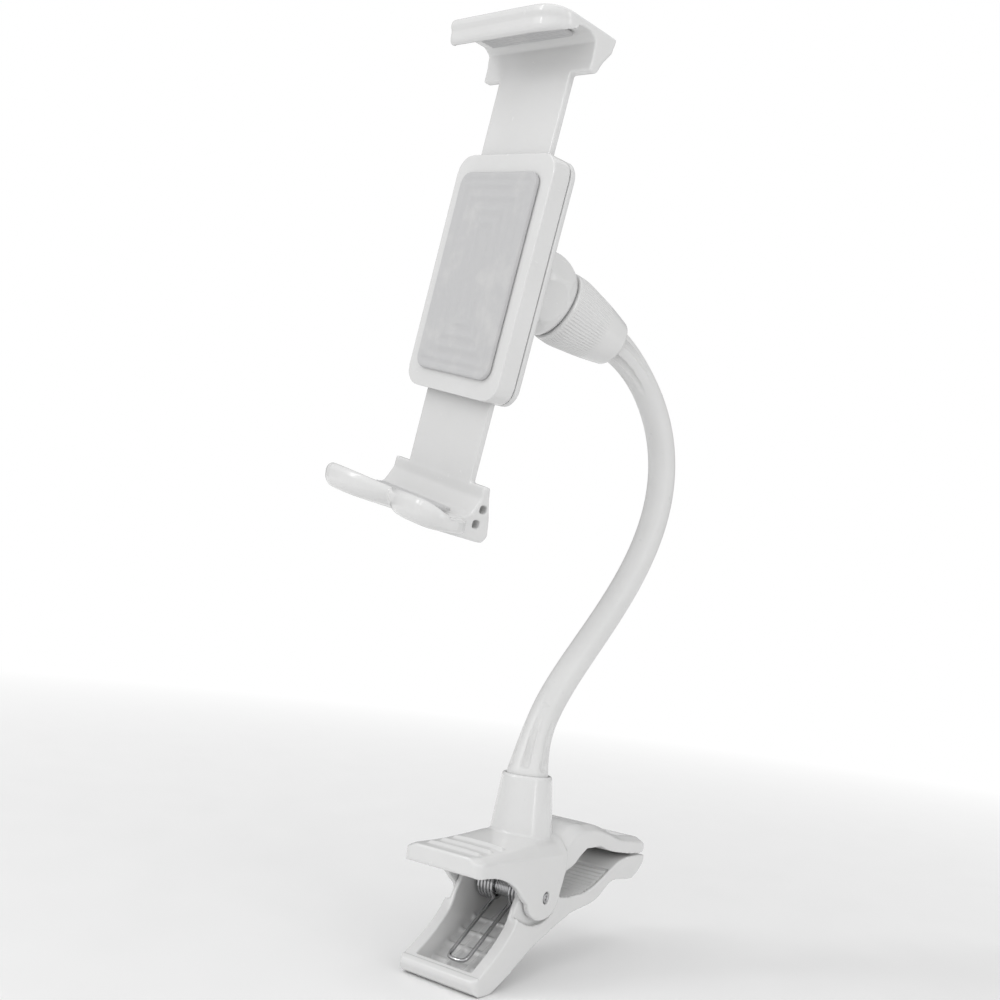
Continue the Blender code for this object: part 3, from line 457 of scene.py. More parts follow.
def steel(name, tone, stretch, rough_low, rough_high):
    """Bright plated wire and bar, drawn along one direction."""
    n = Nodes(name)
    streaks = n.noise(700.0, 6.0, stretch, 0.65)
    base = n.mix(n.spread(streaks, 0.0, 1.0), (tone * 0.82, tone * 0.82, tone * 0.84),
                 (tone, tone, tone * 1.01))
    spots = n.spread(n.noise(520.0, 3.0), 0.0, 0.5, 0.62, 0.78)
    base = n.mix(spots, base, (tone * 0.55, tone * 0.53, tone * 0.5))
    rough = n.sum(n.spread(streaks, rough_low, rough_high), n.sum(spots, 0.2, "MULTIPLY"))
    normal = n.bump(streaks, 0.10, 0.00004)
    return n.done(base, rough, normal, Metallic=1.0)


def rubber(name, tone):
    """Matte grip rubber with a fine stipple and paler rubbed patches."""
    n = Nodes(name)
    rubbed = n.spread(n.noise(110.0, 5.0), 0.0, 0.6, 0.5, 0.8)
    base = n.mix(rubbed, (tone, tone, tone * 1.01), (tone * 1.25, tone * 1.24, tone * 1.22))
    rough = n.spread(n.noise(300.0, 4.0), 0.62, 0.85)
    normal = n.bump(n.noise(3200.0, 2.0), 0.45, 0.00006)
    return n.done(base, rough, normal)


def nylon(name, tone):
    """Natural nylon: milky, slightly clouded and satin."""
    n = Nodes(name)
    base = n.mix(n.spread(n.noise(140.0, 4.0), 0.0, 1.0), (tone * 0.93, tone * 0.92, tone * 0.88),
                 (tone, tone * 0.995, tone * 0.97))
    rough = n.spread(n.noise(260.0, 4.0), 0.36, 0.52)
    normal = n.bump(n.noise(1500.0, 3.0), 0.16, 0.00004)
    return n.done(base, rough, normal, Subsurface_Weight=0.15, Subsurface_Scale=0.002)


GLOSS = plastic("gloss_white_plastic", 0.68, 0.22, 0.05, 0.35)
SATIN = plastic("satin_white_plastic", 0.65, 0.36, 0.20, 0.35)
SLEEVE = sleeve_vinyl("sleeve_white_vinyl", 0.67)
WIRE = steel("bright_steel_wire", 0.52, (1.0, 0.2, 0.2), 0.10, 0.24)
BAR = steel("bright_steel_bar", 0.52, (0.08, 1.0, 1.0), 0.14, 0.30)
RUBBER = rubber("grey_rubber", 0.50)
NYLON = nylon("natural_nylon", 0.72)


# ---------------------------------------------------------------- clip

EAR_INNER = 12.1
EAR_OUTER = 14.3
UPPER_TOP = ((-36.0, 14.1), (-20.0, 13.3), (3.0, 12.8), (8.5, 13.2), (12.2, 15.2),
             (15.6, 17.4), (19.0, 18.5), (24.0, 18.8), (31.0, 18.4), (38.0, 16.7),
             (44.0, 14.9), (49.0, 13.8), (58.0, 12.9), (62.4, 12.5), (64.2, 11.6), (65.4, 10.0))
UPPER_UNDER = ((9.4, 6.2), (12.4, 6.3), (17.0, 7.8), (20.4, 10.0), (24.2, 12.0),
               (26.4, 12.0), (31.0, 12.0), (33.2, 12.0), (40.0, 10.0), (48.0, 8.7), (58.0, 7.6),
               (62.6, 7.5), (64.4, 8.1), (65.4, 9.2))
CROWN = ((-36.0, 0.1), (-28.0, 0.8), (-20.0, 1.7), (-4.0, 4.2), (9.0, 4.0), (24.0, 0.6),
         (40.0, 0.3), (65.4, 0.0))
UPPER_PLAN = ((-36.0, 11.4), (-35.8, 12.3), (-35.3, 13.1), (-34.6, 13.65), (-33.6, 13.95),
              (-32.0, 14.0),
              (-20.0, 14.1), (4.0, 14.3), (9.2, 14.3), (9.7, 14.2), (10.1, 13.8), (10.6, 13.2),
              (11.4, 12.9), (14.0, 12.8), (30.0, 12.75), (55.0, 12.65), (63.6, 12.5),
              (64.6, 12.2), (65.2, 11.6), (65.4, 10.6))
PLATE_UNDER = 10.4
RIDGES = (-31.0, -25.2, -19.4)
BOSS_Y = 3.5
BOSS_TOP = 34.4
BOSS_BASE = 17.2
PIN_RADIUS = 1.45
BLANK_HALF_WIDTH = 14.6        # of the block that the upper lever is cut from
NECK_BORE = 6.9
FOOT_SCREW_BORE = 1.8
CLEARANCE = 0.3                # round the pin and the grip pads
CLIP_SKIN = (0.36, 5, 0.6)     # voxel size, rounds of smoothing and share of faces kept
TOP_RUN = flow(UPPER_TOP)
UNDER_RUN = flow(UPPER_UNDER)


def plan_block(table, low=-40.0, high=40.0):
    """A block whose outline seen from above has the half-width that the table gives at each y."""
    right = [(half, y) for y, half in table]
    left = [(-half, y) for y, half in reversed(table)]
    return loft([[Vector((x, y, z)) for x, y in right + left] for z in (low, high)])


SHOULDER = 2.8                 # width of the sloped band along the top's edges
SHOULDER_DROP = 1.35


def top_height(x, y):
    side, plan = table_value(TOP_RUN, y), table_value(UPPER_PLAN, y)
    return side + table_value(CROWN, y) * (1 - min(1.0, abs(x) / plan) ** 3.5)


def upper_section(y, under):
    """One cross-section of the upper lever: flat underside, rounded shoulders and a crowned top."""
    half = BLANK_HALF_WIDTH
    side = table_value(TOP_RUN, y)
    plan = table_value(UPPER_PLAN, y)
    ring = [Vector((-half, y, under)), Vector((half, y, under))]
    for i in range(49):
        x = half * (1 - i / 24)
        inward = plan - abs(x)
        drop = min(SHOULDER_DROP, 0.3 * (side - under)) * max(0.0, 1 - max(inward, 0.0) / SHOULDER)
        ring.append(Vector((x, y, top_height(x, y) - drop)))
    return ring


def ear_outline():
    skirt = [(-35.8, 12.0), (-35.8, 9.0), (-30.0, 8.6), (-25.0, 7.9), (-20.0, 6.3), (-15.8, 4.0),
             (-12.6, 1.2)]
    foot = arc((-1.2, 0.2), 8.6, 190, 345, 30, squash=0.76)
    return flow(skirt, 5) + foot + [(8.3, 2.5), (9.7, 6.6), (9.2, 12.0)]


RIDGE_HALF_LENGTH = 9.4
RIDGE_MIDDLE = 0.6
RIDGE_HALF_WIDTH = 1.05
RIDGE_RISE = 1.05
RIDGE_STEPS = 22               # rings from a ridge's middle to each of its ends


def ridge(y):
    """A long, low grip ridge with round ends, which follows the crown of the plate."""
    rings = []
    for i in range(2 * RIDGE_STEPS + 1):
        along = RIDGE_HALF_LENGTH * (i / RIDGE_STEPS - 1)
        x = RIDGE_MIDDLE + along
        end = max(0.0, abs(along) - RIDGE_HALF_LENGTH + RIDGE_HALF_WIDTH) / RIDGE_HALF_WIDTH
        width = RIDGE_HALF_WIDTH * math.sqrt(max(0.02, 1 - end ** 2))
        rise = RIDGE_RISE * (width / RIDGE_HALF_WIDTH)
        base = top_height(x, y)
        section = [Vector((x, y - width, base - 1.0)), Vector((x, y + width, base - 1.0))]
        for k in range(9):
            a = math.pi * k / 8
            section.append(Vector((x, y + width * math.cos(a), base - 0.25 + rise * math.sin(a))))
        rings.append(section)
    return loft(rings)


def pad_outline(line, side, skin_out, back, grow):
    """A band along a line in (y, z), some way out of the lever's face and into it."""
    run = [Vector(p) for p in flow(line, 4)]
    first, last = (run[1] - run[0]).normalized(), (run[-1] - run[-2]).normalized()
    run[0] = run[0] - first * grow
    run[-1] = run[-1] + last * grow
    face, rear = [], []
    for i, p in enumerate(run):
        along = (run[min(i + 1, len(run) - 1)] - run[max(i - 1, 0)]).normalized()
        out = Vector((-along.y, along.x)) * side
        face.append(tuple(p - out * skin_out))
        rear.append(tuple(p + out * back))
    return face + rear[::-1]


UPPER_PAD = ((14.6, 6.9), (17.0, 7.8), (20.4, 10.0), (24.2, 12.0), (26.4, 12.0), (31.0, 12.0),
             (33.2, 12.0), (40.0, 10.0))
LOWER_PAD = ((12.6, -1.6), (14.6, -1.8), (17.0, -1.8), (22.0, -1.8), (24.4, -1.8), (27.7, -1.2),
             (32.2, 0.1), (36.5, 1.8), (41.0, 3.8))
PAD_HALF_WIDTH = 11.4
PAD_THICKNESS = 1.2
PAD_MOUTH = 0.6                # how far a pad's pocket is cut out past the lever's face
PAD_EDGE = 0.35
GRIP_PITCH = 2.0
GRIP_DEPTH = 0.55


def pad_pocket(line, side):
    half = PAD_HALF_WIDTH + CLEARANCE
    return extrude_side(pad_outline(line, side, PAD_MOUTH, PAD_THICKNESS + CLEARANCE, CLEARANCE),
                        -half, half)


def pin_bore():
    return rod((-20, 0, 0), (20, 0, 0), PIN_RADIUS + CLEARANCE)


def make_upper_lever():
    stations = [(-36.0, 9.2), (-35.7, 9.0), (-33.4, 9.0), (-33.3, PLATE_UNDER)]
    stations += [(y, PLATE_UNDER) for y in range(-32, 9)] + [(9.3, PLATE_UNDER)]
    stations += [(9.4 + k * 56.0 / 80, None) for k in range(81)]
    rings = [upper_section(y, table_value(UNDER_RUN, y) if under is None else under)
             for y, under in stations]
    lever = loft(rings)
    adds = []
    for side in (-1, 1):
        low, high = sorted((side * EAR_INNER, side * (EAR_OUTER + 0.3)))
        adds.append(extrude_side(ear_outline(), low, high))
    boss = turned(rounded([(0, BOSS_TOP), (7.9, BOSS_TOP), (9.75, BOSS_BASE),
                           (10.1, BOSS_BASE - 2.6),
                           (10.3, 12.2), (0, 12.2)], 0.9, closed=False), 120)
    bmesh.ops.translate(boss, vec=(0, BOSS_Y, 0), verts=boss.verts)
    adds.append(mesh_object("boss", boss))
    combine(lever, adds, "UNION")
    combine(lever, [plan_block(UPPER_PLAN)], "INTERSECT")
    combine(lever, [ridge(y) for y in RIDGES], "UNION")
    combine(lever, [
        rod((0, BOSS_Y, 14.0), (0, BOSS_Y, 40), NECK_BORE, sides=72),
        rod((0, BOSS_Y, 5), (0, BOSS_Y, 20), FOOT_SCREW_BORE),
        pin_bore(), pad_pocket(UPPER_PAD, 1)], "DIFFERENCE")
    soften(lever, *CLIP_SKIN)
    finish_piece(lever, "clip_upper_shell", PIN_FRAME, GLOSS, "clip_upper", ["upper_lever"])


LOWER_OUTER = ((-27.0, -23.3), (-23.5, -23.1), (-15.7, -19.9), (-9.2, -16.7), (-3.1, -13.6),
               (2.8, -11.5), (9.5, -9.3), (17.8, -7.0), (25.3, -6.1), (30.4, -5.4), (34.5, -4.2),
               (38.0, -2.2), (41.5, -0.4), (46.0, 0.2), (54.0, -0.5), (57.6, -0.3), (60.6, 0.8),
               (63.4, 2.9), (65.5, 5.0), (65.2, 6.6))
LOWER_INNER = ((62.0, 6.9), (54.0, 7.0), (47.0, 6.1), (41.5, 4.0), (36.5, 1.8), (32.2, 0.1),
               (27.7, -1.2), (24.4, -1.8), (22.0, -1.8), (17.0, -1.8), (14.6, -1.8), (10.0, -1.1))
LOWER_PLAN = ((-34.0, 12.6), (-31.8, 12.8), (-31.2, 13.5), (-30.2, 13.85), (-23.0, 13.8),
              (0.0, 13.5),
              (12.0, 13.1), (18.0, 12.9), (55.0, 12.65), (64.4, 12.5), (65.4, 12.2),
              (66.0, 11.6), (66.2, 10.6))
EAR_POCKET = ((0, 8.0), (20, 9.3), (60, 13.0), (120, 15.0), (185, 15.0), (197, 14.6), (203, 13.2),
              (210, 11.8), (218, 10.8), (227, 9.8), (240, 8.8), (252, 7.9), (275, 7.3), (299, 7.3),
              (320, 7.6), (340, 7.8), (360, 8.0))
POCKET_INNER = 11.8
TROUGH_HALF_WIDTH = 10.0


def lower_outline():
    front = [(-10.1, 2.6), (-12.6, -1.6), (-15.2, -7.0), (-21.8, -13.0), (-29.9, -18.1)]
    end = [(-30.3, -17.75), (-31.8, -18.7), (-32.0, -20.0), (-30.9, -22.1), (-29.0, -23.2)]
    hub = arc((0, 0), 5.4, 30, 118, 16)
    return (end + flow(LOWER_OUTER, 4) + flow(LOWER_INNER, 4) + [(7.4, 0.6)] + hub
            + [(-6.6, 4.6)] + flow(front, 4))


TROUGH_FLOOR = ((-27.6, -18.9), (-24.6, -20.9), (-21.0, -20.0), (-15.0, -17.2), (-9.0, -14.2),
                (-3.0, -11.2), (4.5, -8.4), (8.6, -5.4))


def trough_outline():
    return list(TROUGH_FLOOR) + [(8.6, -2.4), (5.2, 2.4), (2.0, 8.0), (-14.0, 8.0), (-34.0, -10.0)]


def trough_block():
    """The hollow of the lower lever."""
    return extrude_side(rounded(trough_outline(), 1.6, 3), -TROUGH_HALF_WIDTH, TROUGH_HALF_WIDTH)


def ear_pocket():
    """Outline of the room that the upper lever's ear sweeps as the clip opens."""
    points = []
    for degrees in range(0, 360, 4):
        reach = table_value(EAR_POCKET, degrees)
        a = math.radians(degrees)
        points.append((reach * math.cos(a), reach * math.sin(a)))
    return points


def floor_rib(x, width, top):
    """A rib along the trough's floor, a little proud of it."""
    crest = [(y, z + top) for y, z in ((-24.2, -20.4), (-15.2, -17.2), (-9.2, -14.2),
                                       (-3.2, -11.2), (2.6, -9.0))]
    root = [(2.0, -11.0), (-12.0, -17.8), (-21.0, -21.8), (-24.6, -22.0)]
    rings = []
    for dx, lift in ((-1.0, -1.2), (-0.55, 0.0), (0.55, 0.0), (1.0, -1.2)):
        rings.append([Vector((x + dx * width, y, z + lift)) for y, z in crest] +
                     [Vector((x + dx * width, y, z)) for y, z in root])
    return loft(rings)


def cross_rib(y, z, width, top):
    outline = [(y - width * 1.5, z - 2.6), (y - width * 0.7, z + top),
               (y + width * 0.7, z + top + 0.3), (y + width * 1.5, z - 2.2)]
    return extrude_side(outline, -TROUGH_HALF_WIDTH - 0.4, TROUGH_HALF_WIDTH + 0.4)


def make_lower_lever():
    lever = extrude_side(lower_outline(), -14.4, 14.4)
    combine(lever, [plan_block(LOWER_PLAN)], "INTERSECT")
    combine(lever, [
        extrude_side(ear_pocket(), -20, -POCKET_INNER),
        extrude_side(ear_pocket(), POCKET_INNER, 20),
        trough_block(),
        pin_bore(), pad_pocket(LOWER_PAD, -1)], "DIFFERENCE")
    ribs = [floor_rib(x, 0.9, 0.5) for x in (-3.4, 3.4)]
    ribs += [cross_rib(y, z, 0.8, 0.5) for y, z in ((-20.4, -19.9), (-14.4, -16.9), (-8.4, -13.9),
                                                    (-2.4, -10.9))]
    combine(lever, ribs, "UNION")
    soften(lever, *CLIP_SKIN)
    finish_piece(lever, "clip_lower_shell", PIN_FRAME, GLOSS, "clip_lower", ["lower_lever"])


def make_grip_pad(name, line, side, body, node):
    """A lining strip with fine ribs across the jaw."""
    run = [Vector(p) for p in flow(line, 40)]
    lengths = [0.0]
    for a, b in zip(run, run[1:]):
        lengths.append(lengths[-1] + (b - a).length)
    count = int(lengths[-1] / GRIP_PITCH * 16)
    face, rear = [], []
    k = 0
    for i in range(count + 1):
        s = lengths[-1] * i / count
        while k < len(lengths) - 2 and lengths[k + 1] < s:
            k += 1
        share = (s - lengths[k]) / max(lengths[k + 1] - lengths[k], 1e-6)
        p = run[k].lerp(run[k + 1], min(max(share, 0.0), 1.0))
        lead = run[min(k + 4, len(run) - 1)] - run[max(k - 3, 0)]
        out = Vector((-lead.y, lead.x)).normalized() * side
        groove = GRIP_DEPTH * (0.5 - 0.5 * math.cos(2 * math.pi * s / GRIP_PITCH)) ** 1.2
        face.append(p + out * groove)
        rear.append(p + out * PAD_THICKNESS)
    outline = [tuple(p) for p in face] + [tuple(p) for p in rear[::12]][::-1]
    rings = []
    for x, shrink in ((-PAD_HALF_WIDTH, PAD_EDGE), (-PAD_HALF_WIDTH + PAD_EDGE, 0.0),
                      (PAD_HALF_WIDTH - PAD_EDGE, 0.0), (PAD_HALF_WIDTH, PAD_EDGE)):
        ring = []
        for i, (y, z) in enumerate(outline):
            if i < len(face):
                lead = rear[i] - face[i]
                q = Vector((y, z)) + lead.normalized() * shrink
                ring.append(Vector((x, q.x, q.y)))
            else:
                ring.append(Vector((x, y, z)))
        rings.append(ring)
    pad = loft(rings)
    finish_piece(pad, name, PIN_FRAME, SATIN, body, [node], sharp=40)


def make_pin():
    half = 14.1
    profile = rounded([(0, -half + 0.7), (0.55, -half + 0.7), (0.75, -half), (PIN_RADIUS, -half),
                       (PIN_RADIUS, half), (0.75, half), (0.55, half - 0.7), (0, half - 0.7)], 0.22,
                      closed=False)
    pin = mesh_object("pin", turned(profile, 48))
    pin.data.transform(Matrix.Rotation(math.pi / 2, 4, "Y"))
    finish_piece(pin, "hinge_pin_visual", PIN_FRAME, BAR, "clip_upper", ["hinge_pin"], sharp=50)


def make_spool():
    outer = [(2.9, -9.6)]
    for i in range(9):
        z = -2.4 + i * 0.6
        outer += [(2.9, z - 0.12), (2.82, z), (2.9, z + 0.12)]
    outer += [(2.9, 9.6)]
    profile = [(1.8, -9.6)] + outer + [(1.8, 9.6)]
    spool = mesh_object("spool", turned(profile, 56))
    spool.data.transform(Matrix.Rotation(math.pi / 2, 4, "Y"))
    finish_piece(spool, "spring_spool_visual", PIN_FRAME, BAR, "clip_upper", ["spring_spool"],
                 sharp=50)


SPRING_RADIUS = 4.1
SPRING_WIRE = 0.6
SPRING_TURNS = 4
SPRING_INNER = 3.2
SPRING_PITCH = 1.4


def spring_half(side):
    """One half of the double torsion spring: arm, coil and its side of the U-shaped leg."""
    start = math.radians(58)
    total = SPRING_TURNS * 2 * math.pi + math.radians(-122 + 360) - start
    coil = []
    count = 200
    for i in range(count + 1):
        share = i / count
        a = start + total * share
        x = SPRING_INNER + SPRING_PITCH * SPRING_TURNS * (1 - share)
        coil.append(Vector((x, SPRING_RADIUS * math.cos(a), SPRING_RADIUS * math.sin(a))))
    back = Vector((0, -math.sin(start), math.cos(start)))
    arm = [coil[0] + back * 8.2 * k for k in (1.0, 0.75, 0.5, 0.25)]
    foot = Vector((SPRING_INNER, -20.4, -16.0))
    leg = [coil[-1].lerp(foot, k) for k in (0.2, 0.4, 0.6, 0.8, 0.92)]
    corner = [tuple(coil[-1].lerp(foot, 0.96)), tuple(foot), (3.1, -21.6, -16.75),
              (2.6, -22.6, -17.25),
              (1.6, -23.05, -17.45), (0.0, -23.15, -17.5)]
    path = arm + coil + leg + [Vector(p) for p in flow(corner, 4)]
    return [Vector((p.x * side, p.y, p.z)) for p in path]


def make_spring():
    for side, name in ((1, "right"), (-1, "left")):
        wire = mesh_object("spring", tube(spring_half(side), SPRING_WIRE, sides=14))
        nodes = ["torsion_spring"] if side > 0 else []
        finish_piece(wire, "torsion_spring_" + name, PIN_FRAME, WIRE, None, nodes, sharp=60)
        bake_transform(wire)


# ---------------------------------------------------------------- neck

def collar_point(distance):
    return BALL_IN_MM + COLLAR_AXIS * distance


NECK_CONTROL = (Vector((0.0, 3.5, 34.4)), Vector((0.1, 7.3, 60.0)), Vector((-0.2, 9.8, 73.3)),
                Vector((22.5, 101.0, 123.8)), collar_point(60.2), collar_point(36.6))
NECK_LENGTH = 173.5
NECK_RADIUS = 4.8
NECK_FOOT_RADIUS = 6.6
NECK_HEAD_RADIUS = 6.3
NECK_FLARE = 27.0
FLUTE_TURN = -67.6             # degrees from +X of one flute at the foot
FLUTES = 6
FLUTE_DEPTH = 1.4
FLUTE_REACH = 24.0
FOOT_FLUTE = (1.6, 1.55)       # distance from the sleeve's end, and half-width
HEAD_FLUTE = (1.2, 1.5)
FLUTED_SHARE = 0.16            # rings stand closer together this near to either end
FLUTED_STEP = 0.0030
PLAIN_STEP = 0.0075


def neck_point(t):
    """A point on the neck's curve, from its foot at 0 to the collar at 1, straight beyond them."""
    if t < 0:
        return NECK_CONTROL[0] + Vector((0, 0, 1)) * t * 100
    if t > 1:
        return NECK_CONTROL[-1] - COLLAR_AXIS * (t - 1) * 100
    degree = len(NECK_CONTROL) - 1
    total = Vector((0, 0, 0))
    for i, control in enumerate(NECK_CONTROL):
        total += control * (math.comb(degree, i) * t ** i * (1 - t) ** (degree - i))
    return total


def neck_frame(t):
    along = (neck_point(t + 0.002) - neck_point(t - 0.002)).normalized()
    flat = Vector((1, 0, 0))
    flat = (flat - along * flat.dot(along)).normalized()
    return along, flat, along.cross(flat)


def flute_depth(height, across, width, reach):
    """How deep a flute is at a height above its round end and a distance across from its middle."""
    half = width * (1 - 0.62 * min(1.0, height / reach))
    if height <= 0 or height >= reach or half <= 0:
        return 0.0
    lead = max(0.0, width - height)
    inside = 1 - (across / half) ** 2 - (lead / width) ** 2
    if inside <= 0:
        return 0.0
    fade = 1 - (height / reach) ** 1.5
    return FLUTE_DEPTH * fade * inside ** 0.4


def neck_radius(t, angle):
    """Radius of the sleeve: it swells towards both ends, where flutes are pressed into it."""
    from_foot, from_head = t * NECK_LENGTH, (1 - t) * NECK_LENGTH
    foot = min(1.0, max(0.0, 1 - from_foot / NECK_FLARE)) ** 2
    head = min(1.0, max(0.0, 1 - from_head / NECK_FLARE)) ** 2
    radius = (NECK_RADIUS + (NECK_FOOT_RADIUS - NECK_RADIUS) * foot
              + (NECK_HEAD_RADIUS - NECK_RADIUS) * head)
    sector = 2 * math.pi / FLUTES
    turn = (angle - math.radians(FLUTE_TURN) + sector / 2) % sector - sector / 2
    across = turn * radius
    low = flute_depth(from_foot - FOOT_FLUTE[0], across, FOOT_FLUTE[1], FLUTE_REACH)
    high = flute_depth(from_head - HEAD_FLUTE[0], across, HEAD_FLUTE[1], FLUTE_REACH)
    return radius - low - high


def neck_tube(low, high, sides=120):
    """One length of the sleeve, with rings packed closer where the flutes are."""
    places = []
    t = low
    while t < high - 1e-6:
        places.append(t)
        near = min(abs(t), abs(1 - t))
        t += FLUTED_STEP if near < FLUTED_SHARE else PLAIN_STEP
    places.append(high)
    rings = []
    for t in places:
        _, flat, other = neck_frame(t)
        centre = neck_point(t)
        rings.append([centre + (flat * math.cos(a) + other * math.sin(a)) * neck_radius(t, a)
                      for a in angles(sides)])
    return skin(rings)


NECK_CUTS = (-0.142, 0.31, 0.50, 0.70, 1.11)
NECK_BENDS = (0.22, 0.40, 0.60, 0.79)
BEND_REACH = 0.062             # distance along the neck each way from a bend's middle; the points it gives are worked out but not used


def make_neck():
    for i, (low, high) in enumerate(zip(NECK_CUTS, NECK_CUTS[1:])):
        sleeve = mesh_object("neck", neck_tube(low, high))
        nodes = ["neck_sleeve_%d" % (i + 1), "neck_core_%d" % (i + 1)]
        if i == 3:
            nodes += ["neck_sleeve_5", "neck_core_5"]
        finish_piece(sleeve, "neck_length_%d" % (i + 1), PIN_FRAME, SLEEVE, None, nodes, sharp=60)
        middle = NECK_BENDS[i]
        PIN_FRAME @ neck_point(middle - BEND_REACH)
        PIN_FRAME @ neck_point(middle + BEND_REACH)
        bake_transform(sleeve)


# ---------------------------------------------------------------- ball joint

COLLAR_OUTER = ((11.7, 11.75), (12.15, 12.1), (12.3, 14.0), (12.3, 17.0), (11.5, 22.0),
                (10.5, 27.6),
                (9.5, 32.0), (8.6, 35.6), (8.1, 37.2), (7.4, 37.6))
COLLAR_RIBS = 66
RIB_DEPTH = 0.27
RIB_START, RIB_END = 12.6, 28.5
RIB_FADE_IN, RIB_FADE_OUT = 0.8, 2.4


def make_collar():
    """The socket collar: fine lengthwise ribs from its mouth, which fade before its smooth nose."""
    outer = flow(COLLAR_OUTER, 6)
    sides = COLLAR_RIBS * 8
    rings = []
    for r, z in outer:
        fade = (min(1.0, max(0.0, (z - RIB_START) / RIB_FADE_IN))
                * min(1.0, max(0.0, (RIB_END - z) / RIB_FADE_OUT)))
        ring = []
        for a in angles(sides):
            rib = (0.5 - 0.5 * math.cos(a * COLLAR_RIBS)) ** 2
            reach = r - RIB_DEPTH * fade * rib
            ring.append(Vector((reach * math.cos(a), reach * math.sin(a), z)))
        rings.append(ring)
    inner = ((6.75, 37.6), (6.75, 22.0), (4.2, 21.6), (4.2, 14.0), (9.3, 11.75))
    rings += [circle(r, z, sides) for r, z in inner]
    collar = mesh_object("collar", skin(rings, loop=True))
    finish_piece(collar, "socket_collar_shell", BALL_FRAME, GLOSS, "neck_head", sharp=75)
    # no worn edges and no painted edge highlight on the collar
    for value in collar.data.attributes["wear_and_highlight"].data:
        value.value = 0.0


SOCKET_RADIUS = 9.0
BALL_RADIUS = 7.4


def round_profile(radius, turns):
    """Points of a circle's profile for turned(), at angles in degrees from +Z."""
    return [(radius * math.sin(math.radians(a)), radius * math.cos(math.radians(a)))
            for a in turns]


def make_socket():
    """The slotted socket fingers that close on the cup, under the nut."""
    cavity = round_profile(SOCKET_RADIUS, range(26, 105, 6))
    profile = [(10.2, -2.2), (10.2, 11.7), (4.3, 11.7), (4.3, 8.2)] + cavity
    socket = mesh_object("socket", turned(rounded(profile, 0.25, 2), 96))
    tools = []
    for turn in (45, 135):
        slot = box((-12, -0.6, -4), (12, 0.6, 5))
        slot.rotation_euler = (0, 0, math.radians(turn))
        tools.append(slot)
    combine(socket, tools, "DIFFERENCE")
    finish_piece(socket, "socket_fingers", BALL_FRAME, GLOSS, "neck_head", ["socket_collar"],
                 sharp=35)


NUT_SECTIONS = ((-4.5, 10.9, 10.9), (-4.2, 11.5, 11.5), (-3.2, 12.3, 12.5), (-0.4, 12.6, 13.7),
                (3.6, 12.65, 14.3), (6.8, 12.65, 13.8), (8.8, 12.6, 12.9), (10.2, 12.2, 12.2),
                (11.3, 11.3, 11.3))
NUT_TURN = -2.2
NUT_BOTTOM = -4.5
NUT_HEIGHT = 15.8
NUT_STEPS = 56
NUT_EDGE = 0.08                # width of the blend between a flat and the barrel


def soft_min(a, b, width):
    """The smaller of two values, with the switch between them rounded off."""
    share = min(1.0, max(0.0, 0.5 + 0.5 * (b - a) / width))
    return b + (a - b) * share - width * share * (1 - share)


def make_nut():
    """The lock nut: six flats, each bounded by an oval where it meets the round barrel."""
    sides = 240
    flats = flow([(z, flat) for z, flat, _ in NUT_SECTIONS], 6)
    barrel = flow([(z, radius) for z, _, radius in NUT_SECTIONS], 6)
    outer = []
    for i in range(NUT_STEPS + 1):
        z = NUT_BOTTOM + NUT_HEIGHT * i / NUT_STEPS
        flat, corner = table_value(flats, z), table_value(barrel, z)
        ring = []
        for a in angles(sides):
            away = math.fmod(a, math.pi / 3) - math.pi / 6
            reach = soft_min(flat / math.cos(away), corner, NUT_EDGE)
            ring.append(Vector((reach * math.cos(a), reach * math.sin(a), z)))
        outer.append(ring)
    inner = [circle(r, z, sides)
             for r, z in ((10.6, 11.3), (10.6, -2.6), (9.6, -3.6), (9.6, NUT_BOTTOM))]
    nut = mesh_object("nut", skin(outer + inner, loop=True))
    nut.data.transform(Matrix.Rotation(math.radians(NUT_TURN), 4, "Z"))
    finish_piece(nut, "lock_nut_knob", BALL_FRAME, GLOSS, "lock_nut", ["lock_nut"], sharp=40)


def make_ball():
    """The swivel ball.

    Known fault: the mirror below turns its bore away from the cradle, so the stem goes through
    solid ball. Without the mirror and the flip of the normals, the bore would face the stem.
    """
    profile = round_profile(BALL_RADIUS, range(0, 158, 3))
    profile += [(2.5, -6.9), (2.4, -6.4), (2.4, 3.0), (0, 3.0)]
    piece = mesh_object("ball", turned(profile, 72))
    mirror = Matrix.Scale(-1, 4, Vector((0, 0, 1)))
    piece.data.transform(Matrix.Rotation(-math.pi / 2, 4, "X") @ mirror)
    piece.data.flip_normals()
    finish_piece(piece, "swivel_ball_visual", CRADLE_FRAME, NYLON, "swivel_ball", ["swivel_ball"],
                 sharp=50)


def make_stud():
    root, shoulder = 8.5 - 23.2, 12.4 - 23.2
    profile = rounded([(0, 2.6), (2.1, 2.6), (2.1, -7.9), (3.0, -8.6), (3.2, shoulder),
                       (2.6, shoulder),
                       (2.6, root), (0, root)], 0.2, closed=False)
    stud = mesh_object("stud", turned(profile, 56))
    stud.data.transform(Matrix.Rotation(-math.pi / 2, 4, "X"))
    finish_piece(stud, "ball_stud_visual", CRADLE_FRAME, BAR, "cradle", ["ball_stud"], sharp=50)


# ---------------------------------------------------------------- cradle

def plan_outline(half_x, half_z, corner, steps=8):
    run = []
    for cx, cz, start in ((1, 1, 0), (-1, 1, 90), (-1, -1, 180), (1, -1, 270)):
        centre = (cx * (half_x - corner), cz * (half_z - corner))
        run += arc(centre, corner, start, start + 90, steps)
    return run


def plan_slab(half_x, half_z, low_y, high_y, corner):
    """A slab in the cradle's plane with round corners."""
    outline = plan_outline(half_x, half_z, corner)
    return loft([[Vector((x, y, z)) for x, z in outline] for y in (low_y, high_y)])


def inset_slab(inset, low_y, high_y, corner):
    return plan_slab(BODY_HALF_WIDTH - inset, BODY_HALF_LENGTH - inset, low_y, high_y, corner)


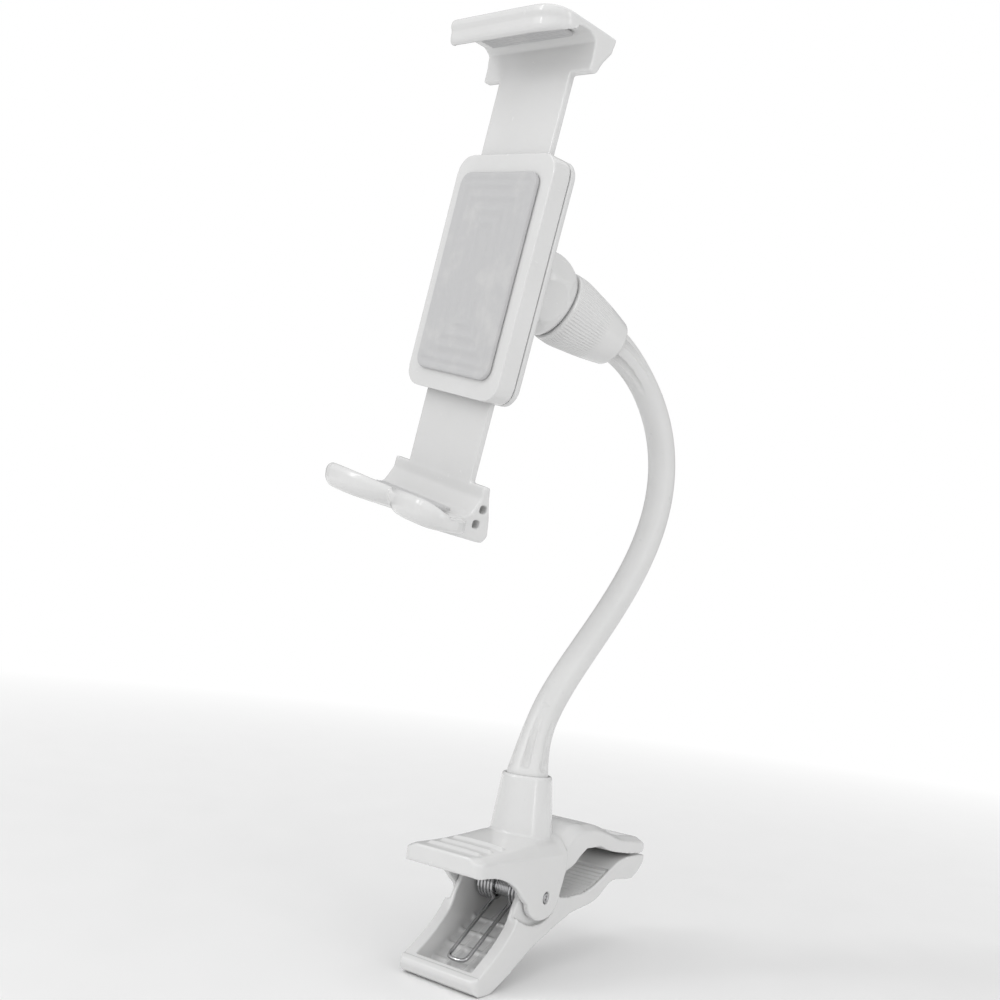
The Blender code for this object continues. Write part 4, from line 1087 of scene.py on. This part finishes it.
def post(side, end, low_y, high_y, radius):
    """A rod along Y at one of the four corner posts."""
    return rod((side * POST_X, low_y, end * POST_Z), (side * POST_X, high_y, end * POST_Z), radius)


BODY_HALF_WIDTH = 24.0
BODY_HALF_LENGTH = 38.0
BODY_FRONT = 1.5
BODY_BACK = 8.2
COVER_BACK = 10.4
POST_X = 21.0
POST_Z = 34.0
TONGUE_HALF_WIDTH = 17.0
BODY_CORNER = 6.0
SCREW_BORE = 1.25
SHELL_SKIN = (0.38, 4, 0.5)    # as CLIP_SKIN
COVER_SKIN = (0.34, 3, 0.5)
CORNERS = [(side, end) for side in (-1, 1) for end in (-1, 1)]


def make_shell():
    shell = inset_slab(0, BODY_FRONT, BODY_BACK, BODY_CORNER)
    combine(shell, [inset_slab(2, BODY_FRONT + 2, BODY_BACK + 2, 4.4)], "DIFFERENCE")
    posts = [post(s, e, BODY_FRONT + 1, BODY_BACK, 2.5) for s, e in CORNERS]
    posts.append(rod((0, BODY_FRONT + 1, 0), (0, BODY_BACK - 0.6, 0), 1.9))
    combine(shell, posts, "UNION")
    holes = [post(s, e, BODY_FRONT + 2.4, BODY_BACK + 2, SCREW_BORE) for s, e in CORNERS]
    holes += [box((-TONGUE_HALF_WIDTH - 0.4, BODY_FRONT + 2, e * 35 - 6),
                  (TONGUE_HALF_WIDTH + 0.4, BODY_BACK + 2, e * 35 + 6)) for e in (-1, 1)]
    combine(shell, holes, "DIFFERENCE")
    soften(shell, *SHELL_SKIN)
    finish_piece(shell, "cradle_body_shell", CRADLE_CENTRE, GLOSS, "cradle", ["cradle_shell"])


def make_cover():
    """The rear cover: a flat plate with the stem's boss, a shallow groove and four screw holes."""
    cover = inset_slab(0, BODY_BACK + 0.3, COVER_BACK, BODY_CORNER)
    boss = rod((0, COVER_BACK - 1, 2.0), (0, COVER_BACK + 1.9, 2.0), 8.6, 6.2, 72)
    combine(cover, [boss], "UNION")
    tools = [rod((0, 0, 2.0), (0, 20, 2.0), 2.9)]
    for s, e in CORNERS:
        tools += [post(s, e, 0, 20, SCREW_BORE), post(s, e, COVER_BACK - 0.9, 20, 2.1)]
    groove = inset_slab(6.4, COVER_BACK - 0.5, COVER_BACK + 2, 4.0)
    combine(groove, [inset_slab(7.2, COVER_BACK - 3, COVER_BACK + 4, 3.4)], "DIFFERENCE")
    tools.append(groove)
    combine(cover, tools, "DIFFERENCE")
    soften(cover, *COVER_SKIN)
    finish_piece(cover, "rear_cover_plate", CRADLE_CENTRE, SATIN, "cradle", ["rear_cover"])


def make_cover_screws():
    names = {(-1, 1): "upper_left", (1, 1): "upper_right",
             (-1, -1): "lower_left", (1, -1): "lower_right"}
    profile = rounded([(0, 0), (1.2, -0.02), (1.7, -0.25), (1.7, -0.6), (0.9, -0.6), (0.9, -5.6),
                       (0, -5.6)], 0.12, 3, closed=False)
    for (side, end), place in names.items():
        screw = mesh_object("screw", turned(profile, 40))
        turn = Matrix.Rotation(0.5 + side + end * 0.4, 4, "Z")
        bars = [box((-1.0, -0.2, -0.35), (1.0, 0.2, 0.5)),
                box((-0.2, -1.0, -0.35), (0.2, 1.0, 0.5))]
        combine(screw, bars, "DIFFERENCE")
        screw.data.transform(Matrix.Translation((side * POST_X, COVER_BACK - 0.1, end * POST_Z))
                             @ Matrix.Rotation(-math.pi / 2, 4, "X") @ turn)
        finish_piece(screw, "cover_screw_%s_visual" % place, CRADLE_CENTRE, BAR, "cradle",
                     ["cover_screw_" + place], sharp=30)


def make_rest_pad():
    """The rubber rest: a thin pad with low cross ribs and an eased border."""
    half_x, half_z, corner, depth = 19.0, 32.0, 4.0, 1.2
    rings = [[Vector((x, depth, z)) for x, z in plan_outline(half_x, half_z, corner, 14)]]
    insets = [0.0, 0.05, 0.2, 0.45] + [0.9 + 0.55 * k for k in range(33)]
    for inset in insets:
        ring = []
        ease = 0.5 * max(0.0, 1 - inset / 0.45) ** 2
        for x, z in plan_outline(half_x - inset, half_z - inset, max(corner - inset, 0.35), 14):
            border = min(1.0, max(0.0, (inset - 1.8) / 0.5))
            wave = 0.5 - 0.5 * math.cos(2 * math.pi * z / 4.0)
            ring.append(Vector((x, ease + 0.32 * border * wave ** 0.6, z)))
        rings.append(ring)
    pad = mesh_object("pad", skin(rings))
    finish_piece(pad, "rest_pad_visual", CRADLE_CENTRE, RUBBER, "cradle", ["rest_pad"], sharp=50)


TEETH = 12
PITCH_RADIUS = 6.0
TONGUE_END = 11.0
TONGUE_LAYERS = (3.8, 6.0)


def tongue_outline(jaw):
    pitch = math.pi * 2 * PITCH_RADIUS / TEETH
    rack = []
    for tooth in range(-2, 9):
        middle = (tooth + 0.5) * pitch
        if middle > -TONGUE_END + 0.8:
            rack += [(7.1, middle - 1.05), (5.35, middle - 0.42), (5.35, middle + 0.42),
                     (7.1, middle + 1.05)]
    end = -TONGUE_END
    outline = [(7.1, end)] + rack + [(7.1, 31.5), (-7.7, 31.5), (-7.7, end),
                                     (-TONGUE_HALF_WIDTH, end),
                                     (-TONGUE_HALF_WIDTH, 66.0), (TONGUE_HALF_WIDTH, 66.0)]
    outline += [(TONGUE_HALF_WIDTH, 22.5), (20.9, 22.5), (20.9, 20.0), (TONGUE_HALF_WIDTH, 20.0)]
    outline += [(TONGUE_HALF_WIDTH, end)]
    return [(x * jaw, z * jaw) for x, z in outline]


def tongue(jaw, layer):
    low = TONGUE_LAYERS[layer]
    return loft([[Vector((x, y, z)) for x, z in tongue_outline(jaw)] for y in (low, low + 2.0)])


def jaw_loft(jaw, sections):
    return loft([[Vector((x, y, z * jaw)) for y, z in points] for x, points in sections])


def upper_jaw_profile(front, drop, lift):
    """Side of the upper jaw: an upper band, a groove, a lower roll, the top plate and a gusset."""
    top = 75.95 - drop
    points = [(front + 0.2, top), (front - 0.9, top - 0.7), (front - 1.0, 73.4),
              (front - 0.5, 72.7),
              (front - 0.2, 72.2), (front, 69.6), (front + 0.6, 68.6), (front + 2.0, 68.4),
              (front + 3.0, 69.4), (front + 3.2, 72.9), (0.6, 72.9), (3.2, 71.4), (3.8, 66.6),
              (3.8, 62.8), (6.6, 62.8), (8.0, 66.4), (10.6, 70.3), (11.1, 74.6), (10.3, top - 0.4)]
    points = [(y, z + lift * max(0.0, 72.9 - z) / 4.5 if y < front + 3.1 else z) for y, z in points]
    return rounded(points, 0.5, 2)


UPPER_JAW_SKIN = (0.36, 4, 0.6)
LOWER_JAW_SKIN = (0.36, 6, 0.6)


def make_upper_jaw():
    half_plan = ((0.0, -13.1, 0.0, 0.0), (9.0, -13.1, 0.0, 0.0), (15.5, -13.0, 0.0, 0.0),
                 (18.6, -12.6, 0.05, 0.1), (21.0, -11.8, 0.15, 0.4), (22.8, -10.7, 0.3, 0.9),
                 (24.1, -9.3, 0.5, 1.5), (25.0, -7.8, 0.8, 2.2), (25.4, -6.4, 1.2, 2.8))
    plan = [(-25.4, -12.3, 0.5, 0.0), (-25.0, -12.9, 0.2, 0.0), (-24.2, -13.1, 0.0, 0.0)]
    plan += half_plan
    jaw = tongue(1, 0)
    combine(jaw, [jaw_loft(1, [(x, upper_jaw_profile(f, d, up)) for x, f, d, up in plan])], "UNION")
    soften(jaw, *UPPER_JAW_SKIN)
    finish_piece(jaw, "upper_jaw_hook", CRADLE_CENTRE, GLOSS, "upper_jaw", ["upper_jaw"])


CHEEK_SIDE = 24.8
CHEEK_FOOT = 77.6
CHEEK_WING = ((24.0, -18.3, 1.0, 69.2), (27.0, -17.9, 0.4, 69.4), (29.2, -16.9, -1.5, 69.9),
              (30.7, -15.6, -3.6, 70.6), (31.7, -14.1, -5.6, 71.3), (32.3, -12.6, -6.8, 72.0))


NOTCHES = ((6.3, -69.8), (4.9, -74.6))     # front edge and middle of each side notch


def cheek_foot(top):
    return CHEEK_FOOT - 0.5 * max(0.0, top - 69.6)


def cheek_profile(front, top):
    foot = cheek_foot(top)
    return [(front + 4.6, foot), (front + 2.4, foot - 0.5), (front + 1.0, foot - 1.7),
            (front + 0.2, foot - 3.4), (front, top + 1.7), (front + 0.7, top + 0.4),
            (front + 1.6, top),
            (front + 2.6, top + 0.3), (front + 3.8, 73.4)]


def lower_jaw_section(front, top):
    points = cheek_profile(front, top)
    points += [(0.6, 73.0), (3.4, 71.6), (5.9, 66.6), (5.9, 62.8), (8.3, 62.8), (8.9, 66.6),
               (10.9, 72.8), (11.9, 78.0), (10.2, 80.1), (8.6, 80.1)]
    return rounded(points, 0.5, 2)


def make_lower_jaw():
    middle = []
    for i in range(-20, 21):
        x = CHEEK_SIDE * i / 20
        out = math.sin(math.pi / 2 * min(1.0, abs(x) / 20.0))
        middle.append((x, lower_jaw_section(-11.2 - 7.1 * out, 70.7 - 1.5 * out)))
    jaw = tongue(-1, 1)
    adds = [jaw_loft(-1, middle)]
    cuts = []
    for side in (-1, 1):
        wing = [(side * x, rounded(cheek_profile(front, top)
                                   + [(back, 73.6), (back, cheek_foot(top))], 0.5, 2))
                for x, front, back, top in CHEEK_WING]
        adds.append(jaw_loft(-1, wing))
        cuts += [box((side * CHEEK_SIDE - 4, y, z - 1.2), (side * CHEEK_SIDE + 4, y + 2.6, z + 1.2))
                 for y, z in NOTCHES]
    combine(jaw, adds, "UNION")
    combine(jaw, cuts, "DIFFERENCE")
    soften(jaw, *LOWER_JAW_SKIN)
    finish_piece(jaw, "lower_jaw_shelf", CRADLE_CENTRE, GLOSS, "lower_jaw", ["lower_jaw"])


def make_lip_pad(name, jaw, body):
    """A rubber strip inside a jaw, ribbed along its length."""
    low, high = 71.5, 72.6
    pitch, depth = 1.36, 0.3
    face = []
    count = 72
    for i in range(count + 1):
        y = -7.4 + 6.8 * i / count
        face.append((y, low + depth * (0.5 - 0.5 * math.cos(2 * math.pi * (y + 7.4) / pitch))))
    outline = [(-7.6, high), (-7.6, low + 0.25)] + face + [(-0.4, low + 0.25), (-0.4, high)]
    rings = []
    for x, shrink in ((-19.0, 0.25), (-18.75, 0.0), (18.75, 0.0), (19.0, 0.25)):
        rings.append([Vector((x, y * (1 - shrink * 0.02),
                              (z + (shrink if z < high - 0.01 else 0)) * jaw))
                      for y, z in outline])
    finish_piece(loft(rings), name + "_visual", CRADLE_CENTRE, RUBBER, body, [name], sharp=45)


def make_cradle_spring(name, side):
    """Extension spring from a corner post to a tongue's lug, hidden in the shell."""
    turns, steps, radius, low, high = 16, 16, 1.25, -30.6, 19.5
    coil_low, coil_high = -20.0, 8.0
    points = [Vector((0, 0, low)), Vector((0, 0, coil_low - 1.0))]
    for i in range(turns * steps + 1):
        a = 2 * math.pi * i / steps
        z = coil_low + (coil_high - coil_low) * i / (turns * steps)
        points.append(Vector((radius * math.cos(a), radius * math.sin(a), z)))
    points += [Vector((0, 0, coil_high + 1.0)), Vector((0, 0, high))]
    placed_points = [Vector((side * 19.4 + p.x, 5.8 + p.y, side * p.z)) for p in points]
    spring = mesh_object("spring", tube(placed_points, 0.28, sides=8))
    finish_piece(spring, name + "_visual", CRADLE_CENTRE, WIRE, "cradle", [name], sharp=60)
    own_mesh(spring)


# ---------------------------------------------------------------- carried-over nodes

def dress_cad_nodes():
    """Materials for the hidden nodes that keep their CAD meshes."""
    looks = {"neck_foot_plug": BAR, "neck_foot_screw": BAR, "neck_head_plug": BAR,
             "ball_cup": NYLON, "pinion": NYLON}
    for name, material in looks.items():
        for slot in frame["nodes"][name].material_slots:
            slot.material = material


# ---------------------------------------------------------------- stage, lights and camera

FADE_START = 0.14              # the floor turns into a white backdrop between these distances
FADE_END = 1.0


def fade_to_white(n):
    """Blend a floor material into plain white light with distance from the object."""
    length = n.add("ShaderNodeVectorMath", operation="LENGTH")
    n.link(n.coords, length.inputs[0])
    away = n.spread(length.outputs["Value"], 0.0, 1.0, FADE_START, FADE_END)
    glow = n.add("ShaderNodeEmission")
    blend = n.add("ShaderNodeMixShader")
    n.link(away, blend.inputs["Fac"])
    n.link(n.shader.outputs["BSDF"], blend.inputs[1])
    n.link(glow.outputs["Emission"], blend.inputs[2])
    n.link(blend.outputs["Shader"], n.tree.nodes["Material Output"].inputs["Surface"])


def make_floor(lowest):
    """A pale floor that runs off to a pale horizon."""
    bm = bmesh.new()
    bmesh.ops.create_grid(bm, x_segments=24, y_segments=24, size=12.0)
    floor = mesh_object("floor", bm)
    floor.location = (0, 0, lowest)
    n = Nodes("pale_floor")
    base = n.mix(n.spread(n.noise(3.0, 3.0), 0.0, 1.0), (0.90, 0.90, 0.90), (0.92, 0.92, 0.92))
    n.done(base, n.spread(n.noise(40.0, 3.0), 0.5, 0.6), n.bump(n.noise(300.0, 2.0), 0.02, 0.0002))
    fade_to_white(n)
    floor.data.materials.append(n.material)


def area_light(name, place, target, size, power, height=None):
    light = bpy.data.lights.new(name, "AREA")
    light.shape = "RECTANGLE"
    light.size = size
    light.size_y = height or size
    light.energy = power
    obj = bpy.data.objects.new(name, light)
    bpy.context.scene.collection.objects.link(obj)
    obj.location = place
    obj.rotation_euler = (Vector(target) - Vector(place)).to_track_quat("-Z", "Y").to_euler()


ROOM_LIGHT = 1.06              # how strongly the room lights the object; the camera sees white
ROOM_DARK = 0.30
ROOM_SPAN = (-0.55, 0.75)      # the room brightens from dark to light between these
BRIGHT_SIDE = (0.35, -0.75, 0.5)   # the side the room is brightest on


def make_lights():
    world = bpy.data.worlds.new("pale_room")
    bpy.context.scene.world = world
    world.use_nodes = True
    nodes, links = world.node_tree.nodes, world.node_tree.links
    nodes["Background"].inputs["Color"].default_value = (1.0, 1.0, 1.0, 1.0)
    seen = nodes.new("ShaderNodeLightPath").outputs["Is Camera Ray"]
    strength = nodes.new("ShaderNodeMapRange")
    direction = nodes.new("ShaderNodeTexCoord").outputs["Generated"]
    lean = nodes.new("ShaderNodeVectorMath")
    lean.operation = "DOT_PRODUCT"
    lean.inputs[1].default_value = Vector(BRIGHT_SIDE).normalized()
    links.new(direction, lean.inputs[0])
    room = nodes.new("ShaderNodeMapRange")
    for name, value in zip(("From Min", "From Max", "To Min", "To Max"),
                           (*ROOM_SPAN, ROOM_DARK, ROOM_LIGHT)):
        room.inputs[name].default_value = value
    links.new(lean.outputs["Value"], room.inputs["Value"])
    links.new(room.outputs["Result"], strength.inputs["To Min"])
    strength.inputs["To Max"].default_value = 1.0
    links.new(seen, strength.inputs["Value"])
    links.new(strength.outputs["Result"], nodes["Background"].inputs["Strength"])
    middle = (0.0, -0.03, 0.10)
    area_light("key_softbox", (-0.55, -0.85, 0.75), middle, 0.16, 2.8, 0.9)
    area_light("side_softbox", (0.95, -0.25, 0.35), middle, 0.14, 1.1, 0.9)
    area_light("top_softbox", (0.1, 0.2, 1.1), middle, 0.7, 0.7)


CAMERA_PLACE = (0.18382, -0.30802, 0.06149)
CAMERA_RIGHT = (0.8089, 0.5754, 0.1209)
CAMERA_UP = (-0.0180, -0.1813, 0.9833)
CAMERA_LENS = 37.34


def make_camera():
    camera = bpy.data.cameras.new("camera")
    camera.lens = CAMERA_LENS
    camera.sensor_width = 36.0
    camera.clip_start = 0.01
    obj = bpy.data.objects.new("camera", camera)
    bpy.context.scene.collection.objects.link(obj)
    right = Vector(CAMERA_RIGHT).normalized()
    up = Vector(CAMERA_UP)
    up = (up - right * up.dot(right)).normalized()
    turn = Matrix((right, up, right.cross(up))).transposed().to_4x4()
    obj.matrix_world = Matrix.Translation(CAMERA_PLACE) @ turn
    bpy.context.scene.camera = obj


make_upper_lever()
make_lower_lever()
make_grip_pad("upper_grip_lining", UPPER_PAD, 1, "clip_upper", "upper_grip_pad")
make_grip_pad("lower_grip_lining", LOWER_PAD, -1, "clip_lower", "lower_grip_pad")
make_pin()
make_spool()
make_spring()
make_neck()
make_collar()
make_socket()
make_nut()
make_ball()
make_stud()
make_shell()
make_cover()
make_cover_screws()
make_rest_pad()
make_upper_jaw()
make_lower_jaw()
make_lip_pad("upper_lip_pad", 1, "upper_jaw")
make_lip_pad("lower_lip_pad", -1, "lower_jaw")
make_cradle_spring("right_cradle_spring", 1)
make_cradle_spring("left_cradle_spring", -1)
dress_cad_nodes()

bpy.context.scene.view_settings.view_transform = "Standard"
make_floor(CAD_BOX[0].z)
make_lights()
make_camera()
